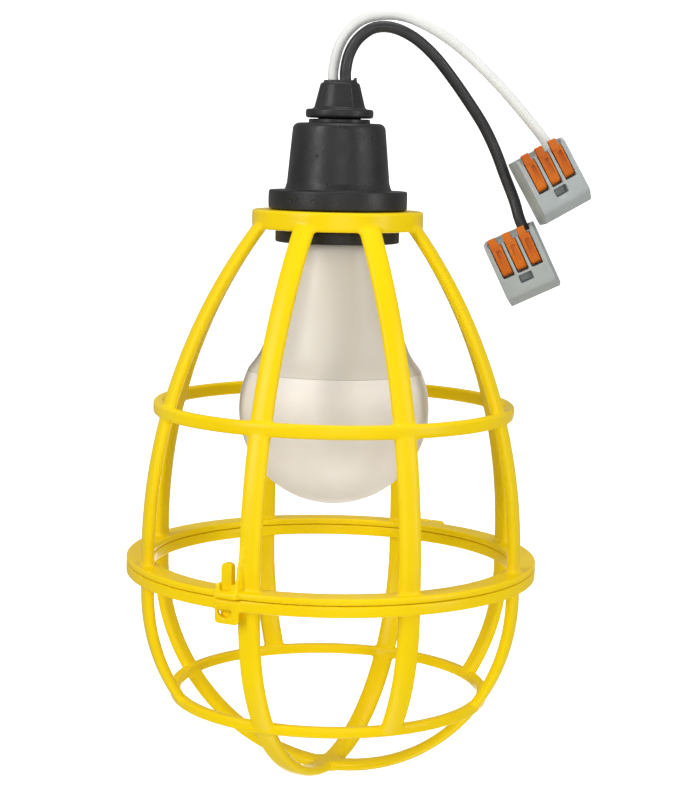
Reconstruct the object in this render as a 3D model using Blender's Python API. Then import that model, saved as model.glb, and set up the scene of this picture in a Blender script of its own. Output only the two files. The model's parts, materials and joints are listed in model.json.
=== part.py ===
"""Caged pendant work light: rubber pigtail socket, drop-open guard, LED bulb and two connectors.

Sizes are in millimetres. A mesh is scaled to metres when it becomes an object.
Z is up, the lamp hangs on the Z axis, and the origin is the top of the strain relief.
"""
import bmesh
import bpy
from math import asin, cos, degrees, pi, radians, sin, sqrt
from mathutils import Matrix, Vector

MM = 0.001
GAP = 0.3                       # running and seating clearance between two pieces
EDGE = 0.7                      # eased edge of a rubber part

# Strain relief and socket body, downward from the origin
BUSHING_TOP_R = 6.0
BUSHING_CONE_R = 7.9
BUSHING_CONE_H = 7.6
BUSHING_FILLET_W = 0.9
BUSHING_FILLET_H = 0.6
BUSHING_FLANGE_R = 10.55
BUSHING_FLANGE_H = 2.8
SPIGOT_R = 6.6
SPIGOT_H = 4.2
NECK_R = 9.55
NECK_H = 1.2
BODY_TOP_R = 14.15
BODY_LOW_R = 15.9
BODY_H = 20.8                   # from the neck's foot to the seat flange
BODY_WAIST_DOWN = 8.3           # where the taper starts, below the body's top
ROOF_T = 3.1                    # rubber above the wiring chamber
SEAT_R = 21.6
SEAT_H = 5.8
COLLAR_H = 5.95
COLLAR_R = 26.75
GROOVE_R = 17.9
LIP_R = 19.4
LIP_H = 3.8
MOUTH_R = 15.0

# Edison screw
PITCH = 3.629
SCREW_MAJOR_R = 13.05
SCREW_STEPS = 20
ROWS_PER_PITCH = 4
THREAD_DEPTH = 0.75
SHELL_WALL = 0.4
SHELL_CAP_H = 3.6
SHELL_SHOULDER_H = 1.7
SHELL_EYE_R = 6.0
SHELL_THREAD_L = 18.8
BASE_THREAD_L = 16.0
BASE_SHOULDER_H = 0.9
BASE_WALL = 0.8

# Contacts above the screw shell
CHAMBER_R = 11.8
CHAMBER_H = 3.1
PUCK_R = 12.9
PUCK_T = 2.8
STRIP_T = 0.4
RIVET_R = 1.0
RIVET_HEAD_R = 1.9
RIVET_HEAD_T = 0.5
SHELL_RIVET_PCR = 9.2
TERMINAL_R = 2.2
TERMINAL_T = 0.5
BARREL_R = 1.3
STRAP_HALF_W = 0.9
SPRING_DROP = 2.8
SPRING_HALF_W = 2.0
SPRING_BEND_X = 4.8
SPRING_TAIL_X = -3.0
SPRING_TIP_X = -3.5

# Bulb
BULB_R = 30.0
BULB_LENGTH = 108.0
BULB_NECK_R = 14.0
CONE_FOOT_R = 0.7633 * BULB_R
PARTING_UP = 12.3               # parting line above the centre of the dome
DIFFUSER_WALL = 1.2
HOUSING_WALL = 1.5
TIP_R = 4.6
TIP_T = 1.2
TIP_GLASS_H = 3.5               # glass insulator between the tip and the screw base
BASE_BELOW_THREAD = 2.0
LED_BOARD_R = 0.8 * BULB_R
LED_BOARD_T = 1.0
LED_COUNT = 8
LED_R = LED_BOARD_R - 8.6
LED_HALF = 1.4
LED_PROUD = 0.7
LEDGE_UP = 3.0                  # ledge that carries the LED board, above the parting line
LEDGE_FOOT_UP = 1.4
HOUSING_SPIGOT_H = 6.5
HOUSING_NECK_H = 3.8
DRIVER_PLAY = 2.4               # room for the driver board in the housing's spigot
DRIVER_T = 1.6
CAPACITOR_R = 4.0
CAPACITOR_L = 12.0

# Guard cage
RIB_COUNT = 8
FIRST_RIB = 22.5                # azimuth in degrees
RIB_W = 6.8
RIB_T = 3.3
RIB_TOP_R = 24.15               # centreline radius where a rib enters the collar
RIB_UPRIGHT = 3.0               # an upper rib is upright this far above the flange
CAGE_H = 103.15                 # collar's foot to the upper flange's top
FLANGE_R = 65.0
FLANGE_W = 8.0
RIB_R = FLANGE_R - FLANGE_W / 2 - 0.1  # centreline radius at the flange
UPPER_FLANGE_T = 1.9
LOWER_FLANGE_T = 3.4
BAND_UP = 47.0                  # band ring above the upper flange's top
RING_H = 4.2
LOWER_RING_H = 3.2
LOWER_RING_DOWN = 44.2          # lower ring below the upper flange's top
BASKET_CENTRE_DOWN = 8.5        # centre of the basket's arcs below the upper flange's top
HUB_R = 5.2                     # fillet disc where the two arcs cross
HUB_PROUD = 0.08

# Hinge and latch of the cage
HINGE_AZIMUTH = 62.0
PIN_R = 0.9
KNUCKLE_R = 2.2
KNUCKLE_HALF = 2.6
HINGE_HALF = 7.5
HINGE_STAND_OFF = 0.4           # between the rim and the knuckles
PIN_CUT_HALF = 9.0
LATCH_AZIMUTH = 241.8
TAB_W = 3.6
TAB_UP = 9.2
STEM_T = 2.2
PIVOT_UP = 1.1
TRUNNION_R = 0.6
NOSE_REACH = 1.1
NOSE_H = 2.4
RIM_BAR = 1.0
RIM_BAR_H = 2.0
CATCH_DROP = 4.1
CATCH_W = 8.0
CATCH_SHIFT = 1.0               # the catch and its notch lie a little towards the rib
NOTCH_W = 5.0
NOTCH_SHIFT = 0.4
EAR_T = 1.2
EAR_H = 2.7
LATCH_SWING_ROOM = 1.6

# Leads
WHITE_R = 1.65
BLACK_R = 1.8
CONDUCTOR_R = 0.9
STRIP_LENGTH = 9.2

# Splice connector: X across, Y towards the wires, Z towards the levers
CONN_W = 16.6
CONN_L = 21.5
CONN_EDGE = 0.6
CONN_FRONT_EDGE = 1.6
CONN_BACK = 3.5                 # back face below the wire axis
CONN_FRONT = 8.5                # front face above the wire axis
CONN_PITCH = 4.8
EAR_WALL = 1.2
ENTRY_RECESS = 1.5
ENTRY_R = max(WHITE_R, BLACK_R) + 0.35
CHAMFER_Y = 3.1
CHAMFER_Z = 4.0
CAVITY_TOP = 3.0
CAVITY_HALF_W = 7.0
CAVITY_START = 6.5
CAVITY_END = 17.5
COVER_T = 1.2
BUSBAR_T = 0.8
CLAMP_W = 3.6
CLAMP_T = 0.4
LEVER_W = 3.2
LEVER_AXIS_Y = 10.1
LEVER_AXIS_Z = 6.4
LEVER_END_R = 1.7
LEVER_T = 2.2
LEVER_PROUD = 0.4
LEVER_TAB = 0.3
LEVER_PIN_R = 0.7
PROBE_SLOT = (4.4, 2.6, 4.0)
PROBE_Y = 14.3

# Heights that follow
BUSHING_FLANGE_FOOT = -(BUSHING_CONE_H + BUSHING_FILLET_H + BUSHING_FLANGE_H)
NECK_TOP = BUSHING_FLANGE_FOOT - GAP
BODY_TOP = NECK_TOP - NECK_H
SEAT_TOP = BODY_TOP - BODY_H
SEAT_FOOT = SEAT_TOP - SEAT_H
COLLAR_TOP = SEAT_FOOT - GAP
COLLAR_FOOT = COLLAR_TOP - COLLAR_H
LIP_TOP = COLLAR_FOOT - GAP
LIP_FOOT = LIP_TOP - LIP_H
COLLAR_BORE_R = GROOVE_R + GAP
UPPER_TOP = COLLAR_FOOT - CAGE_H
UPPER_FOOT = UPPER_TOP - UPPER_FLANGE_T
LOWER_TOP = UPPER_FOOT - GAP
LOWER_FOOT = LOWER_TOP - LOWER_FLANGE_T
BAND_Z = UPPER_TOP + BAND_UP
LOWER_RING_Z = UPPER_TOP - LOWER_RING_DOWN
BASKET_Z = UPPER_TOP - BASKET_CENTRE_DOWN
CHAMBER_TOP = NECK_TOP - ROOF_T
PUCK_TOP = CHAMBER_TOP - CHAMBER_H - GAP
PUCK_FOOT = PUCK_TOP - PUCK_T
SHELL_TOP = PUCK_FOOT - GAP
SHELL_SHOULDER = SHELL_TOP - SHELL_CAP_H
SHELL_THREAD_TOP = SHELL_SHOULDER - SHELL_SHOULDER_H
SHELL_FOOT = SHELL_THREAD_TOP - SHELL_THREAD_L
SHELL_MINOR_R = SCREW_MAJOR_R - THREAD_DEPTH + GAP
SHELL_R = SCREW_MAJOR_R + GAP + SHELL_WALL
SHELL_CAP_R = PUCK_R
SPRING_FOOT = SHELL_TOP - SPRING_DROP
BULB_TOP = SPRING_FOOT - GAP
BULB_Z = BULB_TOP - BULB_LENGTH + BULB_R
TIP_FOOT = BULB_TOP - TIP_T
BASE_TOP = TIP_FOOT - TIP_GLASS_H
BASE_THREAD_TOP = BASE_TOP - BASE_SHOULDER_H
BASE_FOOT = BASE_THREAD_TOP - BASE_THREAD_L - BASE_BELOW_THREAD
BASE_BORE_R = SCREW_MAJOR_R - THREAD_DEPTH - BASE_WALL
PARTING_Z = BULB_Z + PARTING_UP
DRIVER_W = 2 * (BASE_BORE_R - GAP - HOUSING_WALL) - DRIVER_PLAY
RIB_RISE = COLLAR_TOP - 3.0 - (UPPER_TOP + RIB_UPRIGHT)
RIB_ARC_R = (RIB_RISE ** 2 + (RIB_R - RIB_TOP_R) ** 2) / (2 * (RIB_R - RIB_TOP_R))

# Leads: where they leave the strain relief, and the routes beyond it (X, Y, Z)
WHITE_EXIT = Vector((-2.2, 1.1, 0.0))
BLACK_EXIT = Vector((1.6, -1.1, 0.0))
BORE_SPREAD = 3.2               # sideways spread of each bore along Y, from top to foot
WHITE_ROUTE = ((-2.2, 1.3, 4.0), (-0.8, 1.3, 10.4), (1.8, 1.3, 15.2), (6.4, 1.3, 19.2),
               (12.8, 1.2, 20.9), (19.9, 0.9, 20.4), (27.7, 0.4, 17.2), (35.9, 0.0, 12.0),
               (43.8, -0.4, 5.3), (52.1, -0.8, -3.0))
BLACK_ROUTE = ((1.6, -1.3, 3.6), (2.6, -1.3, 8.6), (5.2, -1.3, 13.2), (9.8, -1.2, 16.6),
               (15.6, -0.8, 17.0), (22.4, 0.2, 14.2), (28.9, 1.6, 8.9), (34.6, 3.0, 2.3),
               (40.4, 4.6, -5.4), (45.3, 5.8, -12.6), (49.2, 6.0, -20.2), (52.4, 5.2, -28.2),
               (55.4, 4.0, -35.6))

# Connectors: middle of the wire end, lean in the picture plane and roll about their length
CONNECTORS = {
    "white": {"at": (60.3, -1.0, -20.0), "lean": 29.5, "roll": 10.0},
    "black": {"at": (53.8, 3.0, -45.4), "lean": 26.0, "roll": -8.0},
}
WIRED_PORT = 1                  # the right-hand port, counted from the middle one

MATERIALS = {
    "rubber": ((0.030, 0.030, 0.032), 0.55, 0.0),
    "cage_yellow": ((0.91, 0.68, 0.005), 0.25, 0.0),
    "bulb_white": ((0.80, 0.78, 0.72), 0.25, 0.0),
    "diffuser": ((0.74, 0.69, 0.62), 0.45, 0.0),
    "lead_white": ((0.75, 0.75, 0.71), 0.4, 0.0),
    "lead_black": ((0.032, 0.032, 0.034), 0.45, 0.0),
    "connector_grey": ((0.38, 0.41, 0.40), 0.4, 0.0),
    "lever_orange": ((0.68, 0.16, 0.006), 0.35, 0.0),
    "brass": ((0.72, 0.50, 0.20), 0.3, 1.0),
    "copper": ((0.80, 0.36, 0.20), 0.3, 1.0),
    "aluminium": ((0.77, 0.78, 0.79), 0.35, 1.0),
    "steel": ((0.56, 0.57, 0.58), 0.3, 1.0),
    "ceramic": ((0.62, 0.58, 0.50), 0.6, 0.0),
    "base_glass": ((0.015, 0.015, 0.02), 0.3, 0.0),
    "board_green": ((0.03, 0.16, 0.06), 0.5, 0.0),
    "board_white": ((0.80, 0.80, 0.78), 0.5, 0.0),
    "capacitor": ((0.02, 0.03, 0.08), 0.35, 0.0),
}


# --- scene helpers ---------------------------------------------------------------------------

def clear_scene():
    for obj in list(bpy.data.objects):
        bpy.data.objects.remove(obj, do_unlink=True)


def material(name):
    found = bpy.data.materials.get(name)
    if found:
        return found
    colour, roughness, metallic = MATERIALS[name]
    made = bpy.data.materials.new(name)
    made.use_nodes = True
    shader = made.node_tree.nodes["Principled BSDF"]
    shader.inputs["Base Color"].default_value = (*colour, 1.0)
    shader.inputs["Roughness"].default_value = roughness
    shader.inputs["Metallic"].default_value = metallic
    made.diffuse_color = (*colour, 1.0)
    return made


def place(name, bm, finish=None, origin=(0.0, 0.0, 0.0), parent=None):
    """Turn a bmesh in millimetres into an object; with no finish it is a hidden cutter or tool."""
    bmesh.ops.recalc_face_normals(bm, faces=bm.faces)
    if bm.calc_volume(signed=True) < 0.0:
        bmesh.ops.reverse_faces(bm, faces=bm.faces)
    bm.transform(Matrix.Scale(MM, 4) @ Matrix.Translation(-Vector(origin)))
    mesh = bpy.data.meshes.new(name)
    bm.to_mesh(mesh)
    bm.free()
    mesh.shade_smooth()
    mesh.set_sharp_from_angle(angle=radians(35))
    obj = bpy.data.objects.new(name, mesh)
    bpy.context.scene.collection.objects.link(obj)
    obj.location = Vector(origin) * MM
    obj.parent = parent
    if finish:
        mesh.materials.append(material(finish))
    else:
        obj.hide_render = True
        obj.display_type = "WIRE"
    return obj


def combine(obj, other, operation):
    step = obj.modifiers.new(other.name, "BOOLEAN")
    step.operation = operation
    step.solver = "EXACT"
    step.object = other


def unite(obj, *others):
    for other in others:
        combine(obj, other, "UNION")


def cut(obj, *others):
    for other in others:
        combine(obj, other, "DIFFERENCE")


# --- shapes, as bmeshes in millimetres -------------------------------------------------------

def turned(outline, steps):
    """Spin an outline of (radius, z) points about Z. It is closed, or starts and ends on the axis."""
    bm = bmesh.new()
    verts = [bm.verts.new((r, 0.0, z)) for r, z in outline]
    edges = [bm.edges.new(pair) for pair in zip(verts, verts[1:])]
    if outline[0][0] > 0.0:
        edges.append(bm.edges.new((verts[-1], verts[0])))
    bmesh.ops.spin(bm, geom=verts + edges, axis=(0, 0, 1), cent=(0, 0, 0),
                   angle=2 * pi, steps=steps, use_merge=True)
    bmesh.ops.remove_doubles(bm, verts=bm.verts, dist=1e-4)
    return bm


def rod(start, end, radius, sides=16):
    """A round bar between two points."""
    start, end = Vector(start), Vector(end)
    span = end - start
    bm = bmesh.new()
    bmesh.ops.create_cone(bm, cap_ends=True, segments=sides, radius1=radius, radius2=radius,
                          depth=span.length)
    turn = span.to_track_quat("Z", "Y").to_matrix().to_4x4()
    bm.transform(Matrix.Translation((start + end) / 2) @ turn)
    return bm


def block(low, high):
    """A box between two corners."""
    low, high = Vector(low), Vector(high)
    bm = bmesh.new()
    bmesh.ops.create_cube(bm, size=1.0)
    bm.transform(Matrix.Translation((low + high) / 2) @ Matrix.Diagonal((*(high - low), 1.0)))
    return bm


def slab(outline, start, end, to_frame):
    """Extrude a closed outline of (a, b) points from start to end; to_frame maps (a, b, depth)."""
    bm = bmesh.new()
    face = bm.faces.new([bm.verts.new((a, b, start)) for a, b in outline])
    grown = bmesh.ops.extrude_face_region(bm, geom=[face])
    moved = [item for item in grown["geom"] if isinstance(item, bmesh.types.BMVert)]
    bmesh.ops.translate(bm, verts=moved, vec=(0, 0, end - start))
    bm.transform(to_frame)
    return bm


def merged(*parts):
    """Put separate bmeshes in one; they must not touch."""
    whole = bmesh.new()
    for part in parts:
        carrier = bpy.data.meshes.new("carrier")
        part.to_mesh(carrier)
        part.free()
        whole.from_mesh(carrier)
        bpy.data.meshes.remove(carrier)
    return whole


def arc(centre, radius, start, end, count):
    """Points on an arc, angles in degrees."""
    turns = [radians(start + (end - start) * i / count) for i in range(count + 1)]
    return [(centre[0] + radius * cos(t), centre[1] + radius * sin(t)) for t in turns]


def eased(inner, outer, foot, top, ease):
    """Outline of a ring's section with its four corners cut by ease."""
    return [(inner + ease, foot), (outer - ease, foot), (outer, foot + ease), (outer, top - ease),
            (outer - ease, top), (inner + ease, top), (inner, top - ease), (inner, foot + ease)]


def bar_along(path, azimuth, width, thickness):
    """A flat bar of eight-sided section along a path of (radius, z) points in one upright plane."""
    out = Vector((cos(radians(azimuth)), sin(radians(azimuth)), 0.0))
    side = Vector((-out.y, out.x, 0.0))
    points = [out * r + Vector((0, 0, z)) for r, z in path]
    section = [(cos(t) / cos(pi / 8) * width / 2, sin(t) / cos(pi / 8) * thickness / 2)
               for t in (pi / 8 + pi / 4 * i for i in range(8))]
    bm = bmesh.new()
    rings = []
    for i, point in enumerate(points):
        along = (points[min(i + 1, len(points) - 1)] - points[max(i - 1, 0)]).normalized()
        across = along.cross(side)
        rings.append([bm.verts.new(point + side * a + across * b) for a, b in section])
    for ring, after in zip(rings, rings[1:]):
        for i in range(8):
            bm.faces.new((ring[i], ring[(i + 1) % 8], after[(i + 1) % 8], after[i]))
    bm.faces.new(rings[0])
    bm.faces.new(rings[-1])
    return bm


def frame_at(azimuth):
    """Frame on the cage's rim: X outward, Y along the rim, Z up."""
    return Matrix.Rotation(radians(azimuth), 4, "Z")


def in_frame(bm, frame):
    bm.transform(frame)
    return bm


def thread_r(mean, z, turn):
    """Radius of a right-hand round thread at a height and an angle."""
    return mean + THREAD_DEPTH / 2 * cos(2 * pi * z / PITCH - turn)


def threaded(profile, thread_top, thread_foot, mean, outside):
    """A turned tube whose inner or outer wall carries the thread between two heights.

    profile holds the (radius, z) points that follow the thread's foot round to the thread's top.
    """
    steps = SCREW_STEPS
    rows = round((thread_top - thread_foot) / PITCH * ROWS_PER_PITCH)
    heights = [thread_top + (thread_foot - thread_top) * i / rows for i in range(rows + 1)]
    bm = bmesh.new()
    loops = []
    for z in heights:
        fade = min(1.0, (thread_top - z) / (PITCH / 2), (z - thread_foot) / (PITCH / 2))
        root = mean - THREAD_DEPTH / 2 if outside else mean + THREAD_DEPTH / 2
        loops.append([(root + (thread_r(mean, z, 2 * pi * i / steps) - root) * fade,
                       2 * pi * i / steps, z) for i in range(steps)])
    for r, z in profile:
        loops.append([(r, 2 * pi * i / steps, z) for i in range(steps)])
    rings = [[bm.verts.new((r * cos(t), r * sin(t), z)) for r, t, z in loop] for loop in loops]
    for ring, after in zip(rings, rings[1:] + rings[:1]):
        for i in range(steps):
            j = (i + 1) % steps
            bm.faces.new((ring[i], ring[j], after[j], after[i]))
    return bm


# --- socket ----------------------------------------------------------------------------------

def bore_foot(exit_point):
    """Where a lead's bore ends inside the wiring chamber."""
    spread = BORE_SPREAD if exit_point.y > 0 else -BORE_SPREAD
    return Vector((exit_point.x, exit_point.y + spread, CHAMBER_TOP - 0.1))


def make_strain_relief():
    cone_foot = -BUSHING_CONE_H
    flange_top = BUSHING_FLANGE_FOOT + BUSHING_FLANGE_H
    outline = [(0, 0), (BUSHING_TOP_R - EDGE, 0), (BUSHING_TOP_R, -EDGE), (BUSHING_CONE_R, cone_foot),
               (BUSHING_CONE_R + BUSHING_FILLET_W, flange_top), (BUSHING_FLANGE_R - EDGE, flange_top),
               (BUSHING_FLANGE_R, flange_top - EDGE), (BUSHING_FLANGE_R, BUSHING_FLANGE_FOOT + EDGE),
               (BUSHING_FLANGE_R - EDGE, BUSHING_FLANGE_FOOT), (SPIGOT_R, BUSHING_FLANGE_FOOT),
               (SPIGOT_R, BUSHING_FLANGE_FOOT - SPIGOT_H + GAP),
               (0, BUSHING_FLANGE_FOOT - SPIGOT_H + GAP)]
    bushing = place("strain_relief", turned(outline, 24), "rubber")
    for label, exit_point, radius in (("white", WHITE_EXIT, WHITE_R), ("black", BLACK_EXIT, BLACK_R)):
        foot = bore_foot(exit_point)
        along = (exit_point - foot).normalized()
        bore = rod(foot - along * 6, exit_point + along * 6, radius + GAP, 12)
        cut(bushing, place(f"cutter_bore_{label}", bore))


def make_socket_body():
    flare = [(BODY_TOP_R - 2.2, BODY_TOP), (BODY_TOP_R - 0.6, BODY_TOP - 0.7),
             (BODY_TOP_R, BODY_TOP - 2.3), (BODY_TOP_R + 0.8, BODY_TOP - BODY_WAIST_DOWN),
             (BODY_LOW_R, SEAT_TOP + 3.0), (BODY_LOW_R + 1.0, SEAT_TOP + 0.6)]
    outline = [(SPIGOT_R + GAP, NECK_TOP), (NECK_R, NECK_TOP), (NECK_R, BODY_TOP), *flare,
               (BODY_LOW_R + 3.0, SEAT_TOP), (SEAT_R - EDGE, SEAT_TOP), (SEAT_R, SEAT_TOP - EDGE),
               (SEAT_R, SEAT_FOOT + EDGE), (SEAT_R - EDGE, SEAT_FOOT), (GROOVE_R, SEAT_FOOT),
               (GROOVE_R, LIP_TOP), (LIP_R, LIP_TOP - EDGE), (LIP_R, LIP_FOOT + EDGE),
               (LIP_R - EDGE, LIP_FOOT), (MOUTH_R, LIP_FOOT), (MOUTH_R, LIP_TOP - 0.2),
               (SHELL_R + GAP, LIP_TOP - 0.2), (SHELL_R + GAP, SHELL_SHOULDER + GAP),
               (PUCK_R + GAP, SHELL_SHOULDER + GAP), (PUCK_R + GAP, PUCK_TOP + GAP),
               (CHAMBER_R, PUCK_TOP + GAP), (CHAMBER_R, CHAMBER_TOP), (SPIGOT_R + GAP, CHAMBER_TOP)]
    place("socket_body", turned(outline, 28), "rubber")


def shell_rivet_points():
    turns = (radians(120), radians(300))
    return [Vector((SHELL_RIVET_PCR * cos(t), SHELL_RIVET_PCR * sin(t), 0)) for t in turns]


def rivet(name, at, head_foot):
    tail_top = SHELL_TOP - STRIP_T - GAP
    outline = [(0, head_foot + RIVET_HEAD_T), (RIVET_HEAD_R - 0.3, head_foot + RIVET_HEAD_T),
               (RIVET_HEAD_R, head_foot), (RIVET_R, head_foot), (RIVET_R, tail_top),
               (RIVET_HEAD_R, tail_top), (RIVET_HEAD_R - 0.3, tail_top - RIVET_HEAD_T),
               (0, tail_top - RIVET_HEAD_T)]
    bm = turned(outline, 12)
    bm.transform(Matrix.Translation(at))
    place(name, bm, "brass")


def terminal(name, ring_at, post_at):
    """A crimp terminal: an eye under a rivet, a strap and the barrel that holds the lead."""
    foot = PUCK_TOP + GAP
    top = foot + TERMINAL_T
    strap = post_at - ring_at
    side = Vector((-strap.y, strap.x)).normalized() * STRAP_HALF_W
    start, end = ring_at.to_2d(), post_at.to_2d()
    outline = [start - side, end - side, end + side, start + side]
    eye = place(name, rod(ring_at + Vector((0, 0, foot)), ring_at + Vector((0, 0, top)), TERMINAL_R),
                "copper")
    arm = slab([tuple(point) for point in outline], foot + 0.05, top - 0.05, Matrix.Identity(4))
    post = rod((post_at.x, post_at.y, foot), (post_at.x, post_at.y, CHAMBER_TOP - 0.1 - GAP), BARREL_R, 12)
    unite(eye, place(f"tool_{name}_arm", arm), place(f"tool_{name}_post", post))
    hole = rod(ring_at + Vector((0, 0, foot - 1)), ring_at + Vector((0, 0, top + 1)), RIVET_R + GAP, 12)
    cut(eye, place(f"cutter_{name}", hole))


def make_contacts():
    first, second = shell_rivet_points()
    puck = place("insulator_puck", rod((0, 0, PUCK_FOOT), (0, 0, PUCK_TOP), PUCK_R, 28), "ceramic")
    holes = [rod((p.x, p.y, PUCK_FOOT - 1), (p.x, p.y, PUCK_TOP + 1), RIVET_R + GAP, 12)
             for p in (Vector((0, 0, 0)), first, second)]
    cut(puck, place("cutter_puck_holes", merged(*holes)))

    spring = [(SPRING_TAIL_X, SHELL_TOP), (SPRING_BEND_X, SHELL_TOP), (SPRING_BEND_X, SPRING_FOOT),
              (SPRING_TIP_X, SPRING_FOOT), (SPRING_TIP_X, SPRING_FOOT + STRIP_T),
              (SPRING_BEND_X - STRIP_T, SPRING_FOOT + STRIP_T),
              (SPRING_BEND_X - STRIP_T, SHELL_TOP - STRIP_T), (SPRING_TAIL_X, SHELL_TOP - STRIP_T)]
    upright = Matrix.Rotation(radians(90), 4, "X")
    strip = place("centre_contact_spring", slab(spring, -SPRING_HALF_W, SPRING_HALF_W, upright), "brass")
    eye = rod((0, 0, SHELL_TOP - 0.8), (0, 0, SHELL_TOP + 1), RIVET_R + GAP, 12)
    cut(strip, place("cutter_spring_eye", eye))

    over_terminal = PUCK_TOP + GAP + TERMINAL_T + GAP
    rivet("centre_rivet", Vector((0, 0, 0)), over_terminal)
    rivet("shell_rivet_wired", first, over_terminal)
    rivet("shell_rivet_plain", second, PUCK_TOP + GAP)
    white_post = bore_foot(WHITE_EXIT)
    black_post = bore_foot(BLACK_EXIT)
    terminal("white_terminal", first, Vector((white_post.x, white_post.y, 0)))
    terminal("black_terminal", Vector((0, 0, 0)), Vector((black_post.x, black_post.y, 0)))


def make_screw_shell():
    mean = SHELL_MINOR_R + THREAD_DEPTH / 2
    profile = [(SHELL_R - 0.3, SHELL_FOOT - 0.3), (SHELL_R, SHELL_FOOT), (SHELL_R, SHELL_SHOULDER),
               (SHELL_CAP_R, SHELL_SHOULDER), (SHELL_CAP_R, SHELL_TOP), (SHELL_EYE_R, SHELL_TOP),
               (SHELL_EYE_R, SHELL_TOP - STRIP_T), (SHELL_CAP_R - STRIP_T, SHELL_TOP - STRIP_T),
               (SHELL_CAP_R - STRIP_T, SHELL_THREAD_TOP + 0.9)]
    shell = place("screw_shell", threaded(profile, SHELL_THREAD_TOP, SHELL_FOOT, mean, False), "brass")
    holes = [rod((p.x, p.y, SHELL_TOP - 2), (p.x, p.y, SHELL_TOP + 1), RIVET_R + GAP, 12)
             for p in shell_rivet_points()]
    cut(shell, place("cutter_shell_holes", merged(*holes)))


# --- bulb ------------------------------------------------------------------------------------

def make_bulb_base():
    mean = SCREW_MAJOR_R - THREAD_DEPTH / 2
    foot = BASE_THREAD_TOP - BASE_THREAD_L
    root = SCREW_MAJOR_R - THREAD_DEPTH
    profile = [(root, BASE_FOOT), (BASE_BORE_R, BASE_FOOT), (BASE_BORE_R, BASE_TOP),
               (root - 0.3, BASE_TOP)]
    base = threaded(profile, BASE_THREAD_TOP, foot, mean, True)
    place("bulb_screw_base", base, "aluminium")

    cap_r = BASE_BORE_R - GAP
    insulator = [(0, TIP_FOOT - GAP), (TIP_R + 0.6, TIP_FOOT - GAP), (cap_r, BASE_TOP - 0.2),
                 (cap_r, BASE_TOP - 2.0), (0, BASE_TOP - 2.0)]
    place("bulb_base_insulator", turned(insulator, 20), "base_glass")

    tip = [(0, BULB_TOP), (TIP_R * 0.55, BULB_TOP - 0.1), (TIP_R - 0.3, BULB_TOP - 0.6),
           (TIP_R, TIP_FOOT), (0, TIP_FOOT)]
    place("bulb_tip_contact", turned(tip, 16), "aluminium")


def dome_r(radius, z):
    return sqrt(radius ** 2 - (z - BULB_Z) ** 2)


def make_bulb_housing():
    spigot_r = BASE_BORE_R - GAP
    top = BASE_FOOT - GAP
    spigot_top = top + HOUSING_SPIGOT_H
    cone_foot_z = BULB_Z + sqrt(BULB_R ** 2 - CONE_FOOT_R ** 2)
    neck_z = top - HOUSING_NECK_H
    mid_z = (neck_z + cone_foot_z) / 2
    mid_r = (BULB_NECK_R + CONE_FOOT_R) / 2 - 0.6
    ledge_z = PARTING_Z + LEDGE_UP
    edge_z = PARTING_Z + LEDGE_FOOT_UP
    wall = HOUSING_WALL
    outline = [(spigot_r, spigot_top), (spigot_r, top), (BULB_NECK_R - 0.8, top),
               (BULB_NECK_R, neck_z), (mid_r, mid_z), (CONE_FOOT_R, cone_foot_z),
               (dome_r(BULB_R, ledge_z), ledge_z), (dome_r(BULB_R, PARTING_Z), PARTING_Z),
               (dome_r(BULB_R, PARTING_Z) - wall, PARTING_Z), (LED_BOARD_R + GAP, edge_z),
               (LED_BOARD_R + GAP, ledge_z), (LED_BOARD_R - 2.0, ledge_z),
               (CONE_FOOT_R - wall, cone_foot_z + 0.4), (mid_r - wall, mid_z),
               (BULB_NECK_R - wall, neck_z), (spigot_r - wall, neck_z + 1.0),
               (spigot_r - wall, spigot_top)]
    place("bulb_housing", turned(outline, 28), "bulb_white")
    return ledge_z


def make_bulb_inside(ledge_z):
    board_top = ledge_z - GAP
    board_foot = board_top - LED_BOARD_T
    board = place("bulb_led_board", rod((0, 0, board_foot), (0, 0, board_top), LED_BOARD_R, 28),
                  "board_white")
    chips = []
    for i in range(LED_COUNT):
        chip = block((LED_R - LED_HALF, -LED_HALF, board_foot - LED_PROUD),
                     (LED_R + LED_HALF, LED_HALF, board_foot + LED_BOARD_T / 3))
        chips.append(in_frame(chip, frame_at(360 / LED_COUNT * i)))
    unite(board, place("tool_led_chips", merged(*chips)))

    driver_foot = board_top + GAP
    driver_top = BASE_FOOT - 1.5
    place("bulb_driver_board", block((-DRIVER_W / 2, -DRIVER_T / 2, driver_foot),
                                     (DRIVER_W / 2, DRIVER_T / 2, driver_top)), "board_green")
    across = DRIVER_T / 2 + GAP + CAPACITOR_R
    middle = (driver_foot + driver_top) / 2
    reach = CAPACITOR_L / 2
    can = rod((0, across, middle - reach), (0, across, middle + reach), CAPACITOR_R, 16)
    place("bulb_capacitor", can, "capacitor")


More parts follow.
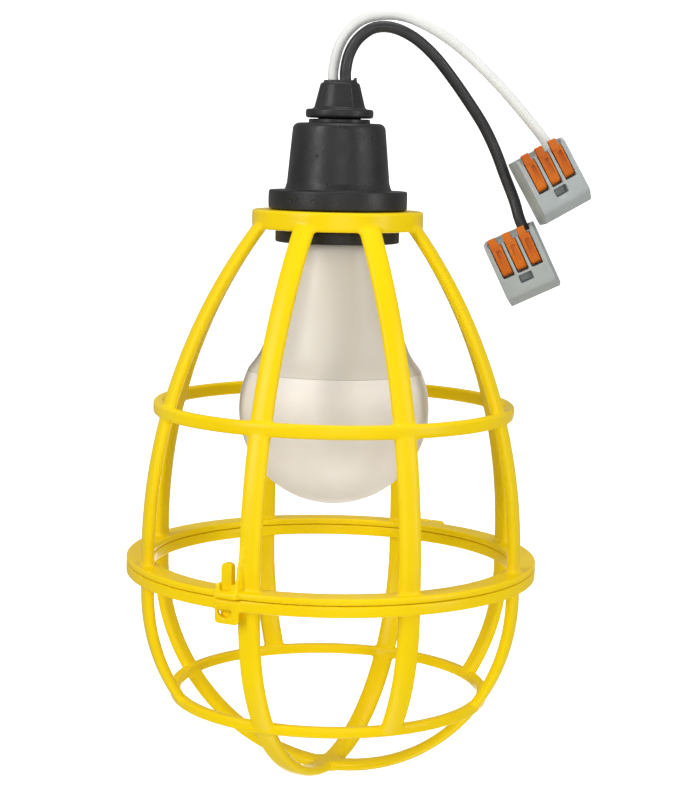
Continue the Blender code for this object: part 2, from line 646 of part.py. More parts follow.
def make_diffuser():
    rim = PARTING_Z - GAP
    inner_r = BULB_R - DIFFUSER_WALL
    outer_start = degrees(asin((rim - BULB_Z) / BULB_R))
    inner_start = degrees(asin((rim - BULB_Z) / inner_r))
    centre = (0.0, BULB_Z)
    outer = arc(centre, BULB_R, outer_start, -90, 8)
    inner = arc(centre, inner_r, -90, inner_start, 8)
    outer[-1] = (0.0, BULB_Z - BULB_R)
    inner[0] = (0.0, BULB_Z - inner_r)
    path = list(reversed(inner[1:])) + [inner[0]]
    shell = bmesh.new()
    for part in (outer, path[::-1]):
        verts = [shell.verts.new((r, 0, z)) for r, z in part]
        edges = [shell.edges.new(pair) for pair in zip(verts, verts[1:])]
        if part is outer:
            rim_vert = verts[0]
        else:
            edges.append(shell.edges.new((rim_vert, verts[-1])))
        bmesh.ops.spin(shell, geom=verts + edges, axis=(0, 0, 1), cent=(0, 0, 0),
                       angle=2 * pi, steps=28, use_merge=True)
    bmesh.ops.remove_doubles(shell, verts=shell.verts, dist=1e-4)
    place("bulb_diffuser", shell, "diffuser")


# --- guard cage ------------------------------------------------------------------------------

def rib_azimuths():
    return [FIRST_RIB + 360 / RIB_COUNT * i for i in range(RIB_COUNT)]


def upper_rib_r(z):
    """Centreline radius of an upper rib: an arc that is upright where the arc's centre lies."""
    rise = max(0.0, z - (UPPER_TOP + RIB_UPRIGHT))
    return RIB_R - (RIB_ARC_R - sqrt(RIB_ARC_R ** 2 - rise ** 2))


def ring_r(z):
    """Centreline radius of the basket's arcs at a height."""
    return sqrt(RIB_R ** 2 - (z - BASKET_Z) ** 2)


def upper_rib(azimuth):
    foot = UPPER_FOOT + 0.6
    top = COLLAR_TOP - 3.0
    heights = [foot + (top - foot) * (i / 10) for i in range(11)]
    return bar_along([(upper_rib_r(z), z) for z in heights], azimuth, RIB_W, RIB_T)


def knuckle(start, end, frame, axis_r, axis_z, web_foot, web_top):
    barrel = rod((axis_r, start, axis_z), (axis_r, end, axis_z), KNUCKLE_R, 16)
    web = block((FLANGE_R - 1.5, start, web_foot), (axis_r, end, web_top))
    return in_frame(barrel, frame), in_frame(web, frame)


def hinge_axis():
    return FLANGE_R + KNUCKLE_R + HINGE_STAND_OFF, (UPPER_FOOT + LOWER_TOP) / 2


def hinge_rod(half, radius):
    """A round bar on the hinge's axis."""
    axis_r, axis_z = hinge_axis()
    return in_frame(rod((axis_r, -half, axis_z), (axis_r, half, axis_z), radius, 12),
                    frame_at(HINGE_AZIMUTH))


def make_upper_cage():
    ease = 0.5
    rim = eased(FLANGE_R - FLANGE_W, FLANGE_R, UPPER_FOOT, UPPER_TOP, ease)
    cage = place("upper_cage", turned(rim, 48), "cage_yellow")
    band_r = upper_rib_r(BAND_Z)
    band = eased(band_r - RIB_T / 2 + 0.4, band_r + RIB_T / 2 + 0.4, BAND_Z - RING_H / 2,
                 BAND_Z + RING_H / 2, 0.7)
    collar = eased(COLLAR_BORE_R, COLLAR_R, COLLAR_FOOT, COLLAR_TOP, 0.6)
    ribs = merged(*(upper_rib(azimuth) for azimuth in rib_azimuths()))
    unite(cage, place("tool_ribs", ribs), place("tool_band", turned(band, 48)),
          place("tool_collar", turned(collar, 32)))

    axis_r, axis_z = hinge_axis()
    frame = frame_at(HINGE_AZIMUTH)
    spans = ((-HINGE_HALF, -KNUCKLE_HALF - GAP), (KNUCKLE_HALF + GAP, HINGE_HALF))
    for side, (start, end) in enumerate(spans):
        barrel, web = knuckle(start, end, frame, axis_r, axis_z, axis_z + 0.25, UPPER_TOP - 0.1)
        unite(cage, place(f"tool_web_{side}", web), place(f"tool_barrel_{side}", barrel))
    cut(cage, place("cutter_upper_pin", hinge_rod(PIN_CUT_HALF, PIN_R + GAP)))

    frame = frame_at(LATCH_AZIMUTH)
    half = TAB_W / 2 + GAP
    stem_in, stem_out = stem_radii()
    for side, (start, end) in enumerate(((-half - EAR_T, 0.4 - half), (half - 0.4, half + EAR_T))):
        ear = block((stem_in - 0.4, start, UPPER_FOOT + 0.7), (FLANGE_R - 0.3, end, UPPER_TOP + EAR_H))
        unite(cage, place(f"tool_ear_{side}", in_frame(ear, frame)))
    guard = block((stem_out - 0.5, CATCH_SHIFT - CATCH_W / 2, UPPER_FOOT + 0.1),
                  (FLANGE_R + 1.5, CATCH_SHIFT + CATCH_W / 2, UPPER_TOP - 0.2))
    unite(cage, place("tool_latch_guard", in_frame(guard, frame)))
    slot = block((stem_in - 0.7, -half, UPPER_FOOT - 1), (stem_out + GAP, half, UPPER_TOP + EAR_H + 1))
    pivot_z = UPPER_TOP + PIVOT_UP
    pivot_r = (stem_in + stem_out) / 2
    reach = half + EAR_T + 0.5
    hole = rod((pivot_r, -reach, pivot_z), (pivot_r, reach, pivot_z), TRUNNION_R + GAP, 12)
    cut(cage, place("cutter_latch_slot", in_frame(slot, frame)))
    cut(cage, place("cutter_trunnions", in_frame(hole, frame)))


def stem_radii():
    """Inner and outer radius of the latch lever's stem."""
    outer = FLANGE_R - RIM_BAR - GAP
    return outer - STEM_T, outer


def basket_arc(azimuth):
    """A great arc of the basket: flange to flange through the lowest point."""
    top = LOWER_TOP - 0.8
    swing = arc((0.0, BASKET_Z), RIB_R, 0, -180, 24)
    path = [(RIB_R, top)] + swing + [(-RIB_R, top)]
    return bar_along(path, azimuth, RIB_W, RIB_T)


def basket_rib(azimuth):
    """A short rib of the basket: flange to lower ring."""
    top = LOWER_TOP - 0.8
    end = -degrees(asin((BASKET_Z - LOWER_RING_Z) / RIB_R))
    path = [(RIB_R, top)] + arc((0.0, BASKET_Z), RIB_R, 0, end, 6)
    return bar_along(path, azimuth, RIB_W, RIB_T)


def crossing_hub():
    """A thin dished disc that fills the corners where the two great arcs cross."""
    half = degrees(asin(HUB_R / RIB_R))
    outer = arc((0.0, BASKET_Z), RIB_R + RIB_T / 2 + HUB_PROUD, -90, -90 + half, 2)
    inner = arc((0.0, BASKET_Z), RIB_R - RIB_T / 2 - HUB_PROUD, -90 + half, -90, 2)
    outer[0] = (0.0, outer[0][1])
    inner[-1] = (0.0, inner[-1][1])
    return turned(outer + inner, 20)


def make_lower_basket():
    axis_r, axis_z = hinge_axis()
    hinge = frame_at(HINGE_AZIMUTH)
    origin = hinge @ Vector((axis_r, 0, axis_z))
    flange = eased(FLANGE_R - FLANGE_W, FLANGE_R, LOWER_FOOT, LOWER_TOP, 0.5)
    basket = place("lower_basket", turned(flange, 48), "cage_yellow", origin)
    ring_mid = ring_r(LOWER_RING_Z)
    ring = eased(ring_mid - RIB_T / 2 - 0.05, ring_mid + RIB_T / 2 - 0.05, LOWER_RING_Z - LOWER_RING_H / 2,
                 LOWER_RING_Z + LOWER_RING_H / 2, 0.6)
    azimuths = rib_azimuths()
    short = merged(*(basket_rib(azimuths[i]) for i in (0, 2, 4, 6)))
    unite(basket, place("tool_arc_front", basket_arc(azimuths[1])),
          place("tool_hub", crossing_hub()),
          place("tool_arc_side", basket_arc(azimuths[3])),
          place("tool_short_ribs", short), place("tool_lower_ring", turned(ring, 48)))

    barrel, web = knuckle(-KNUCKLE_HALF, KNUCKLE_HALF, hinge, axis_r, axis_z,
                          LOWER_FOOT + 0.2, axis_z - 0.25)
    unite(basket, place("tool_basket_web", web), place("tool_basket_barrel", barrel))
    cut(basket, place("cutter_basket_pin", hinge_rod(PIN_CUT_HALF, PIN_R + GAP)))

    latch = frame_at(LATCH_AZIMUTH)
    stem_in, stem_out = stem_radii()
    half = TAB_W / 2 + GAP
    catch = block((FLANGE_R - RIM_BAR + 0.02, CATCH_SHIFT - CATCH_W / 2, LOWER_FOOT - CATCH_DROP),
                  (FLANGE_R + 0.5, CATCH_SHIFT + CATCH_W / 2, LOWER_TOP - 0.3))
    unite(basket, place("tool_catch", in_frame(catch, latch)))
    slot = block((stem_in - LATCH_SWING_ROOM, -half, LOWER_FOOT - 1),
                 (FLANGE_R - RIM_BAR, half, LOWER_TOP + 1))
    notch_top = LOWER_TOP - RIM_BAR_H
    notch = [(NOTCH_SHIFT - NOTCH_W / 2, notch_top), (NOTCH_SHIFT + NOTCH_W / 2, notch_top)]
    notch += arc((NOTCH_SHIFT, notch_top - 1.0), NOTCH_W / 2, 0, -180, 8)
    outward = Matrix(((0, 0, 1, 0), (1, 0, 0, 0), (0, 1, 0, 0), (0, 0, 0, 1)))
    window = slab(notch, FLANGE_R - 3.0, FLANGE_R + 3.0, latch @ outward)
    cut(basket, place("cutter_basket_slot", in_frame(slot, latch)), place("cutter_notch", window))


def make_hinge_pin():
    place("hinge_pin", hinge_rod(HINGE_HALF - 0.1, PIN_R), "steel")


def make_latch():
    frame = frame_at(LATCH_AZIMUTH)
    stem_in, stem_out = stem_radii()
    pivot = ((stem_in + stem_out) / 2, 0.0, UPPER_TOP + PIVOT_UP)
    nose_top = LOWER_TOP - RIM_BAR_H - GAP
    outline = [(stem_in, UPPER_TOP + TAB_UP - 0.6), (stem_in + 0.6, UPPER_TOP + TAB_UP),
               (stem_out - 0.6, UPPER_TOP + TAB_UP), (stem_out, UPPER_TOP + TAB_UP - 0.6),
               (stem_out, nose_top), (stem_out + NOSE_REACH, nose_top),
               (stem_out + NOSE_REACH, nose_top - 1.0), (stem_out, nose_top - NOSE_H),
               (stem_in + 0.4, nose_top - NOSE_H), (stem_in, nose_top - NOSE_H + 0.4)]
    upright = Matrix.Rotation(radians(90), 4, "X")
    lever = slab(outline, -TAB_W / 2, TAB_W / 2, frame @ upright)
    half = TAB_W / 2 + GAP + EAR_T
    pins = in_frame(rod((pivot[0], -half, pivot[2]), (pivot[0], half, pivot[2]), TRUNNION_R, 12), frame)
    latch = place("latch_lever", lever, "cage_yellow", frame @ Vector(pivot))
    unite(latch, place("tool_trunnions", pins))


# --- leads and connectors --------------------------------------------------------------------

def connector_matrix(side):
    """World matrix of a connector, in millimetres: X across, Y towards the wires, Z to the levers."""
    spec = CONNECTORS[side]
    lean = radians(spec["lean"])
    across = Vector((cos(lean), 0, sin(lean)))
    toward = Vector((-sin(lean), 0, cos(lean)))
    front = Vector((0, -1, 0))
    basis = Matrix((across, toward, front)).transposed().to_4x4()
    roll = Matrix.Rotation(radians(spec["roll"]), 4, "Y")
    return Matrix.Translation(spec["at"]) @ basis @ roll


def smooth_route(route, spacing):
    """Evenly spaced points on a Catmull-Rom curve through the route."""
    points = [Vector(p) for p in route]
    padded = [points[0] * 2 - points[1], *points, points[-1] * 2 - points[-2]]
    fine = []
    for a, b, c, d in zip(padded, padded[1:], padded[2:], padded[3:]):
        for i in range(24):
            t = i / 24
            fine.append(0.5 * (2 * b + (c - a) * t + (2 * a - 5 * b + 4 * c - d) * t * t
                               + (3 * b - a - 3 * c + d) * t ** 3))
    fine.append(points[-1])
    length = sum((q - p).length for p, q in zip(fine, fine[1:]))
    count = max(4, round(length / spacing))
    picked = [fine[0]]
    walked = 0.0
    for p, q in zip(fine, fine[1:]):
        walked += (q - p).length
        if walked >= length * len(picked) / count and len(picked) < count:
            picked.append(q)
    picked.append(fine[-1])
    return picked


def make_lead(side, exit_point, route, radius, finish):
    """An insulated lead: crimp barrel, strain relief, the free arch, connector port."""
    connector = connector_matrix(side)
    port_x = WIRED_PORT * CONN_PITCH
    inside = connector @ Vector((port_x, -(CAVITY_START - 0.6), 0))
    mouth = connector @ Vector((port_x, 2.0, 0))
    path = smooth_route([bore_foot(exit_point), exit_point, *route, mouth, inside], radius * 4.4)
    curve = bpy.data.curves.new(f"{side}_lead", "CURVE")
    curve.dimensions = "3D"
    curve.bevel_depth = radius * MM
    curve.bevel_resolution = 2
    curve.use_fill_caps = True
    spline = curve.splines.new("POLY")
    spline.points.add(len(path) - 1)
    for spot, point in zip(spline.points, path):
        spot.co = (*(point * MM), 1.0)
    curve.materials.append(material(finish))
    obj = bpy.data.objects.new(f"{side}_lead", curve)
    bpy.context.scene.collection.objects.link(obj)


def make_connector(side):
    carrier = bpy.data.objects.new(f"{side}_connector_carrier", None)
    bpy.context.scene.collection.objects.link(carrier)
    matrix = connector_matrix(side)
    carrier.matrix_world = Matrix.Translation(matrix.translation * MM) @ matrix.to_3x3().to_4x4()
    half = CONN_W / 2
    ports = [CONN_PITCH * i for i in (-1, 0, 1)]
    sideways = Matrix(((0, 0, 1, 0), (1, 0, 0, 0), (0, 1, 0, 0), (0, 0, 0, 1)))

    outline = [(0.0, -CONN_BACK + CONN_EDGE), (0.0, CONN_FRONT - CONN_FRONT_EDGE),
               (-CONN_FRONT_EDGE, CONN_FRONT),
               (-CONN_L + CHAMFER_Y, CONN_FRONT), (-CONN_L, CONN_FRONT - CHAMFER_Z),
               (-CONN_L, -CONN_BACK + CONN_EDGE), (-CONN_L + CONN_EDGE, -CONN_BACK),
               (-CONN_EDGE, -CONN_BACK)]
    housing = place(f"{side}_connector_housing", slab(outline, -half, half, sideways), "connector_grey",
                    parent=carrier)
    inner = half - EAR_WALL
    pocket_end = LEVER_AXIS_Y + LEVER_END_R + 0.5
    lever_floor = LEVER_AXIS_Z - LEVER_END_R - GAP
    lever_half = LEVER_W / 2 + GAP
    cutters = [block((-inner, -ENTRY_RECESS, -CONN_BACK + 1.2), (inner, 2, CONN_FRONT + 2)),
               block((-CAVITY_HALF_W, -CAVITY_END, -CONN_BACK - 2),
                     (CAVITY_HALF_W, -CAVITY_START, CAVITY_TOP)),
               block((-PROBE_SLOT[0] / 2, -PROBE_Y - PROBE_SLOT[1] / 2, CONN_FRONT - PROBE_SLOT[2]),
                     (PROBE_SLOT[0] / 2, -PROBE_Y + PROBE_SLOT[1] / 2, CONN_FRONT + 2)),
               rod((-inner + 0.1, -LEVER_AXIS_Y, LEVER_AXIS_Z), (inner - 0.1, -LEVER_AXIS_Y, LEVER_AXIS_Z),
                   LEVER_PIN_R + GAP, 12)]
    pockets = merged(*(block((x - lever_half, -pocket_end, lever_floor),
                             (x + lever_half, 3, CONN_FRONT + 3)) for x in ports))
    bores = merged(*(rod((x, -CAVITY_START - 0.8, 0), (x, 1, 0), ENTRY_R, 12) for x in ports))
    for i, cutter in enumerate([*cutters, pockets, bores]):
        cut(housing, place(f"cutter_{side}_{i}", cutter, parent=carrier))

    cover_top = -CONN_BACK + COVER_T
    place(f"{side}_connector_cover", block((-CAVITY_HALF_W + GAP, -CAVITY_END + GAP, -CONN_BACK),
                                           (CAVITY_HALF_W - GAP, -CAVITY_START - GAP, cover_top)),
          "connector_grey", parent=carrier)
    bar_top = -CONDUCTOR_R - GAP
    place(f"{side}_connector_busbar", block((-CAVITY_HALF_W + 0.6, -CAVITY_END + 1, bar_top - BUSBAR_T),
                                            (CAVITY_HALF_W - 0.6, -CAVITY_START - 1.5, bar_top)),
          "copper", parent=carrier)

    high = CAVITY_TOP - GAP
    low = CONDUCTOR_R + GAP
    far = -CAVITY_END + 1.9
    near = -CAVITY_START - 1.5
    clamp = [(near, high), (far, high), (far, low), (far + 5.1, low), (far + 5.1, low + CLAMP_T),
             (far + CLAMP_T, low + CLAMP_T), (far + CLAMP_T, high - CLAMP_T), (near, high - CLAMP_T)]
    for number, x in enumerate(ports, 1):
        strip = slab(clamp, x - CLAMP_W / 2, x + CLAMP_W / 2, sideways)
        place(f"{side}_connector_clamp_{number}", strip, "steel", parent=carrier)
        make_lever(f"{side}_lever_{number}", x, sideways, carrier)

    tail = STRIP_LENGTH
    start = -(CAVITY_START - 0.6) - GAP
    x = WIRED_PORT * CONN_PITCH
    place(f"{side}_conductor", rod((x, start - tail, 0), (x, start, 0), CONDUCTOR_R, 10), "copper",
          parent=carrier)


def make_lever(name, x, sideways, carrier):
    """A lever lying shut: a bar with a round, pinned end and a finger tab over the wire entry."""
    axis = (-LEVER_AXIS_Y, LEVER_AXIS_Z)
    top = CONN_FRONT + LEVER_PROUD
    round_end = arc(axis, LEVER_END_R, 90, 340, 8)
    outline = [(LEVER_TAB, top - 0.5), (LEVER_TAB - 0.5, top), (axis[0] + LEVER_T + 0.5, top)] + round_end
    outline += [(axis[0] + LEVER_END_R + 1.0, top - LEVER_T), (LEVER_TAB, top - LEVER_T + 0.6)]
    lever = place(name, slab(outline, x - LEVER_W / 2, x + LEVER_W / 2, sideways), "lever_orange",
                  (x, axis[0], axis[1]), carrier)
    half = LEVER_W / 2 + GAP + 0.25
    pin = rod((x - half, axis[0], axis[1]), (x + half, axis[0], axis[1]), LEVER_PIN_R, 12)
    unite(lever, place(f"tool_{name}_pin", pin, parent=carrier))


def main():
    clear_scene()
    make_strain_relief()
    make_socket_body()
    make_contacts()
    make_screw_shell()
    make_bulb_base()
    make_bulb_inside(make_bulb_housing())
    make_diffuser()
    make_upper_cage()
    make_lower_basket()
    make_hinge_pin()
    make_latch()
    make_lead("white", WHITE_EXIT, WHITE_ROUTE, WHITE_R, "lead_white")
    make_lead("black", BLACK_EXIT, BLACK_ROUTE, BLACK_R, "lead_black")
    for side in CONNECTORS:
        make_connector(side)


main()
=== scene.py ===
"""Caged pendant work light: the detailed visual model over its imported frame.

Shapes are made in millimetres and scaled to metres when they become pieces. The lamp hangs on
the Z axis, and the origin is the top of the strain relief.
"""
import json
from math import asin, cos, degrees, exp, pi, radians, sin, sqrt, tan

import bmesh
import bpy
from mathutils import Matrix, Vector

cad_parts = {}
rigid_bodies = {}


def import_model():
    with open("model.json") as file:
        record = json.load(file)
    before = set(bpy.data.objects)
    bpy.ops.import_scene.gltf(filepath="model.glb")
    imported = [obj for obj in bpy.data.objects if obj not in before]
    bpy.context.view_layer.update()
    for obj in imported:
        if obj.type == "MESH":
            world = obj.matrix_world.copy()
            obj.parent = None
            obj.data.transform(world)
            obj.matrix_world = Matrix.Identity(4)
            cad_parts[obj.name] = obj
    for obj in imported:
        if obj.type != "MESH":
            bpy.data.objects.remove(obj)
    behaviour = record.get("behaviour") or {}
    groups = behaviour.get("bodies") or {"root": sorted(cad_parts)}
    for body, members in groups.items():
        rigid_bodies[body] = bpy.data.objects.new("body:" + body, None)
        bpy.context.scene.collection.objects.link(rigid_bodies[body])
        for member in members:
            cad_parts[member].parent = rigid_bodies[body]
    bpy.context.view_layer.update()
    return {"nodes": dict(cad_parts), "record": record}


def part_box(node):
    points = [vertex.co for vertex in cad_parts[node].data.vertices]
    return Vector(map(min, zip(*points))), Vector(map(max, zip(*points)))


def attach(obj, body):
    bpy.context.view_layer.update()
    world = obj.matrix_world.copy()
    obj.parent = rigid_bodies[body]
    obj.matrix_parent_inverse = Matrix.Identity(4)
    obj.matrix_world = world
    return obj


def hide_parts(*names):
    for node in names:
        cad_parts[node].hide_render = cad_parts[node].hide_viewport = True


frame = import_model()

MM = 0.001
GAP = 0.3                       # clearance between two pieces of the frame


def foot_of(node):
    """Lowest height of a frame node, in millimetres."""
    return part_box(node)[0].z / MM


def top_of(node):
    """Highest height of a frame node, in millimetres."""
    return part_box(node)[1].z / MM


# Camera, in metres and degrees
CAMERA_AT = (0.00267, -0.6172, -0.0179)
CAMERA_PITCH = 7.506
CAMERA_ROLL = 1.146
CAMERA_LENS = 88.55

# Strain relief and socket body
NECK_TOP = top_of("socket_body")
LIP_FOOT = foot_of("socket_body")
BUSHING_FLANGE_FOOT = NECK_TOP + GAP
BUSHING_TOP_R = 6.0
BUSHING_CONE_R = 7.9
BUSHING_CONE_H = 7.6
BUSHING_FLANGE_R = 10.55
BUSHING_FLANGE_H = 2.8
SPIGOT_R = 6.6
NECK_R = 9.55
BODY_TOP = NECK_TOP - 1.2
BODY_TOP_R = 14.15
BODY_LOW_R = 15.9
SEAT_TOP = BODY_TOP - 20.8
SEAT_FOOT = SEAT_TOP - 5.8
SEAT_R = 21.6
GROOVE_R = 17.9
LIP_TOP = LIP_FOOT + 3.8
LIP_R = 19.4
MOUTH_R = 15.0

# Bulb
BULB_R = 30.0
BULB_Z = foot_of("bulb_diffuser") + BULB_R
PARTING_Z = foot_of("bulb_housing")
BULB_NECK_TOP = foot_of("bulb_screw_base") - GAP
BULB_NECK_R = 14.0
BULB_CONE_R = 22.9
BULB_WALL = 1.5
DIFFUSER_WALL = 1.2
PARTING_EDGE = 0.1              # rounding where cone and dome meet
PARTING_GAP = 0.04

# Guard cage
RIB_COUNT = 8
FIRST_RIB = 22.5                # azimuth in degrees
RIB_W = 6.9
RIB_T = 3.4
RIB_R = 60.9
RIB_ARC_R = 163.0
COLLAR_TOP = top_of("upper_cage")
COLLAR_FOOT = COLLAR_TOP - 5.95
COLLAR_R = 26.75
COLLAR_BORE_R = GROOVE_R + GAP
UPPER_TOP = COLLAR_FOOT - 103.15
UPPER_FOOT = UPPER_TOP - 1.9
LOWER_TOP = UPPER_FOOT - GAP
LOWER_FOOT = LOWER_TOP - 3.4
FLANGE_R = 65.0
FLANGE_W = 8.0
RIM_BORE_R = FLANGE_R - FLANGE_W
RIM_OUTER_R = FLANGE_R + 0.03
RIM_EDGE = 0.35
BAND_Z = UPPER_TOP + 47.0
BAND_H = 4.3
BASKET_Z = UPPER_TOP - 8.5
LOWER_RING_Z = UPPER_TOP - 44.2
LOWER_RING_H = 3.3
HUB_R = 5.0
SEAM_LAP = 0.11                 # how far each rim reaches into the gap between the two

CAGE_VOXEL = 0.45
CAGE_KEPT = 0.46

# Hinge and latch
HINGE_AZIMUTH = 62.0
HINGE_AXIS_R = FLANGE_R + 2.6
HINGE_AXIS_Z = (UPPER_FOOT + LOWER_TOP) / 2
KNUCKLE_R = 2.2
KNUCKLE_HALF = 2.6
HINGE_HALF = 7.5
PIN_R = 0.9
LATCH_AZIMUTH = 241.8
TAB_W = 3.6
TAB_UP = 8.2
STEM_T = 2.2
STEM_OUT = FLANGE_R - 1.0 - GAP
STEM_IN = STEM_OUT - STEM_T
NOSE_TOP = LOWER_TOP - 2.0 - GAP
CATCH_W = 8.0
CATCH_DROP = 4.1
CATCH_SHIFT = 1.0
HOOK_DROP = 4.0

# Leads: exits and routes as the frame lays them, (X, Y, Z)
WHITE_R = 1.65
BLACK_R = 1.8
WHITE_EXIT = Vector((-2.2, 1.1, 0.0))
BLACK_EXIT = Vector((1.6, -1.1, 0.0))
BORE_SPREAD = 3.2
BORE_FOOT = NECK_TOP - 3.2
LEAD_IN = 5.9                   # how far a lead reaches into its connector
LEAD_STEP = 1.6
WHITE_ROUTE = ((-2.2, 1.3, 4.0), (-0.8, 1.3, 10.4), (1.8, 1.3, 15.2), (6.4, 1.3, 19.2),
               (12.8, 1.2, 20.9), (19.9, 0.9, 20.4), (27.7, 0.4, 17.2), (35.9, 0.0, 12.0),
               (43.8, -0.4, 5.3), (52.1, -0.8, -3.0))
BLACK_ROUTE = ((1.6, -1.3, 3.6), (2.6, -1.3, 8.6), (5.2, -1.3, 13.2), (9.8, -1.2, 16.6),
               (15.6, -0.8, 17.0), (22.4, 0.2, 14.2), (28.9, 1.6, 8.9), (34.6, 3.0, 2.3),
               (40.4, 4.6, -5.4), (45.3, 5.8, -12.6), (49.2, 6.0, -20.2), (52.4, 5.2, -28.2),
               (55.4, 4.0, -35.6))

# Splice connectors: X across, Y towards the wires, Z towards the levers
CONNECTORS = {
    "white": {"at": (60.3, -1.0, -20.0), "lean": 29.5, "roll": 10.0},
    "black": {"at": (53.8, 3.0, -45.4), "lean": 26.0, "roll": -8.0},
}
WIRED_PORT_X = 4.8
PORTS = (-4.8, 0.0, 4.8)
CONN_W = 16.6
CONN_L = 21.5
CONN_BACK = 3.5
CONN_FRONT = 8.5
CONN_CHAMFER_Y = 3.1
CONN_CHAMFER_Z = 4.0
CONN_EAR = 1.2
LEVER_W = 3.2
LEVER_AXIS = (-10.1, 6.4)
LEVER_END_R = 1.7

# How an outline's (a, b, depth) lies: (X, Z, -Y), and (Y, Z, X)
UPRIGHT = Matrix.Rotation(radians(90), 4, "X")
SIDEWAYS = Matrix(((0, 0, 1, 0), (1, 0, 0, 0), (0, 1, 0, 0), (0, 0, 0, 1)))

PIECES = bpy.context.scene.collection


# --- camera, light and floor -----------------------------------------------------------------

def make_camera():
    data = bpy.data.cameras.new("camera")
    data.lens = CAMERA_LENS
    data.sensor_width = 36.0
    data.clip_start = 0.01
    data.clip_end = 20.0
    camera = bpy.data.objects.new("camera", data)
    PIECES.objects.link(camera)
    pitch = Matrix.Rotation(radians(90.0 - CAMERA_PITCH), 4, "X")
    roll = Matrix.Rotation(radians(CAMERA_ROLL), 4, "Z")
    camera.matrix_world = Matrix.Translation(CAMERA_AT) @ pitch @ roll
    bpy.context.scene.camera = camera


def softbox(name, at, aim, size, power, warmth=1.0):
    data = bpy.data.lights.new(name, "AREA")
    data.shape = "RECTANGLE"
    data.size, data.size_y = size
    data.energy = power
    data.color = (1.0, 0.5 + 0.5 * warmth, warmth)
    light = bpy.data.objects.new(name, data)
    PIECES.objects.link(light)
    light.location = at
    light.rotation_euler = (Vector(aim) - Vector(at)).to_track_quat("-Z", "Y").to_euler()


def make_studio():
    middle = (0.0, 0.0, -0.11)
    softbox("key_left", (-0.95, -0.75, 0.45), middle, (0.3, 1.1), 10.0)
    softbox("fill_right", (1.05, -0.55, 0.15), middle, (0.25, 1.1), 6.0)
    softbox("top", (0.1, 0.1, 1.1), middle, (0.7, 0.7), 6.0)
    softbox("front", (0.15, -1.5, 0.1), middle, (0.9, 0.9), 5.5)
    softbox("under", (0.0, -0.3, -1.0), middle, (0.8, 0.8), 4.0)
    softbox("rear", (0.1, 1.2, -0.65), middle, (0.8, 0.8), 4.0)
    world = bpy.data.worlds.new("studio")
    world.use_nodes = True
    back = world.node_tree.nodes["Background"]
    back.inputs["Color"].default_value = (1.0, 1.0, 1.0, 1.0)
    back.inputs["Strength"].default_value = 0.34
    bpy.context.scene.world = world
    bpy.context.scene.view_settings.view_transform = "Standard"


def make_floor():
    """A round pale floor that curves up into the backdrop on every side."""
    outline = [(0.0, -1.3), (2.6, -1.3)]
    outline += [(2.6 + 1.2 * sin(radians(t)), -0.1 - 1.2 * cos(radians(t))) for t in range(10, 91, 10)]
    outline.append((3.8, 3.4))
    bm = turned(outline, 64, closed=False)
    mesh = bpy.data.meshes.new("floor")
    bm.to_mesh(mesh)
    bm.free()
    mesh.shade_smooth()
    floor = bpy.data.objects.new("floor", mesh)
    PIECES.objects.link(floor)
    mesh.materials.append(pale_floor())
    floor.visible_glossy = False
    floor.visible_diffuse = False


# --- materials -------------------------------------------------------------------------------

def link(tree, source, output, target, socket):
    tree.links.new(source.outputs[output], target.inputs[socket])


def noise(tree, at, scale, detail=3.0, stretch=(1.0, 1.0, 1.0)):
    """Noise laid in the frame's metres; scale is in grains per metre."""
    mapping = tree.nodes.new("ShaderNodeMapping")
    mapping.inputs["Scale"].default_value = stretch
    link(tree, at, "Object", mapping, "Vector")
    made = tree.nodes.new("ShaderNodeTexNoise")
    made.inputs["Scale"].default_value = scale
    made.inputs["Detail"].default_value = detail
    link(tree, mapping, "Vector", made, "Vector")
    return made


def ramp(tree, source, low, high, start, end):
    """Map a grey pattern between two shares onto two numbers."""
    made = tree.nodes.new("ShaderNodeMapRange")
    made.inputs["From Min"].default_value = low
    made.inputs["From Max"].default_value = high
    made.inputs["To Min"].default_value = start
    made.inputs["To Max"].default_value = end
    link(tree, source, 0, made, "Value")
    return made


def blend(tree, factor, first, second):
    """Mix two colours, each a triple or a node, by a factor node."""
    made = tree.nodes.new("ShaderNodeMix")
    made.data_type = "RGBA"
    link(tree, factor, 0, made, 0)
    for socket, value in ((6, first), (7, second)):
        if isinstance(value, tuple):
            made.inputs[socket].default_value = (*value, 1.0)
        else:
            tree.links.new(value.outputs[2], made.inputs[socket])
    return made


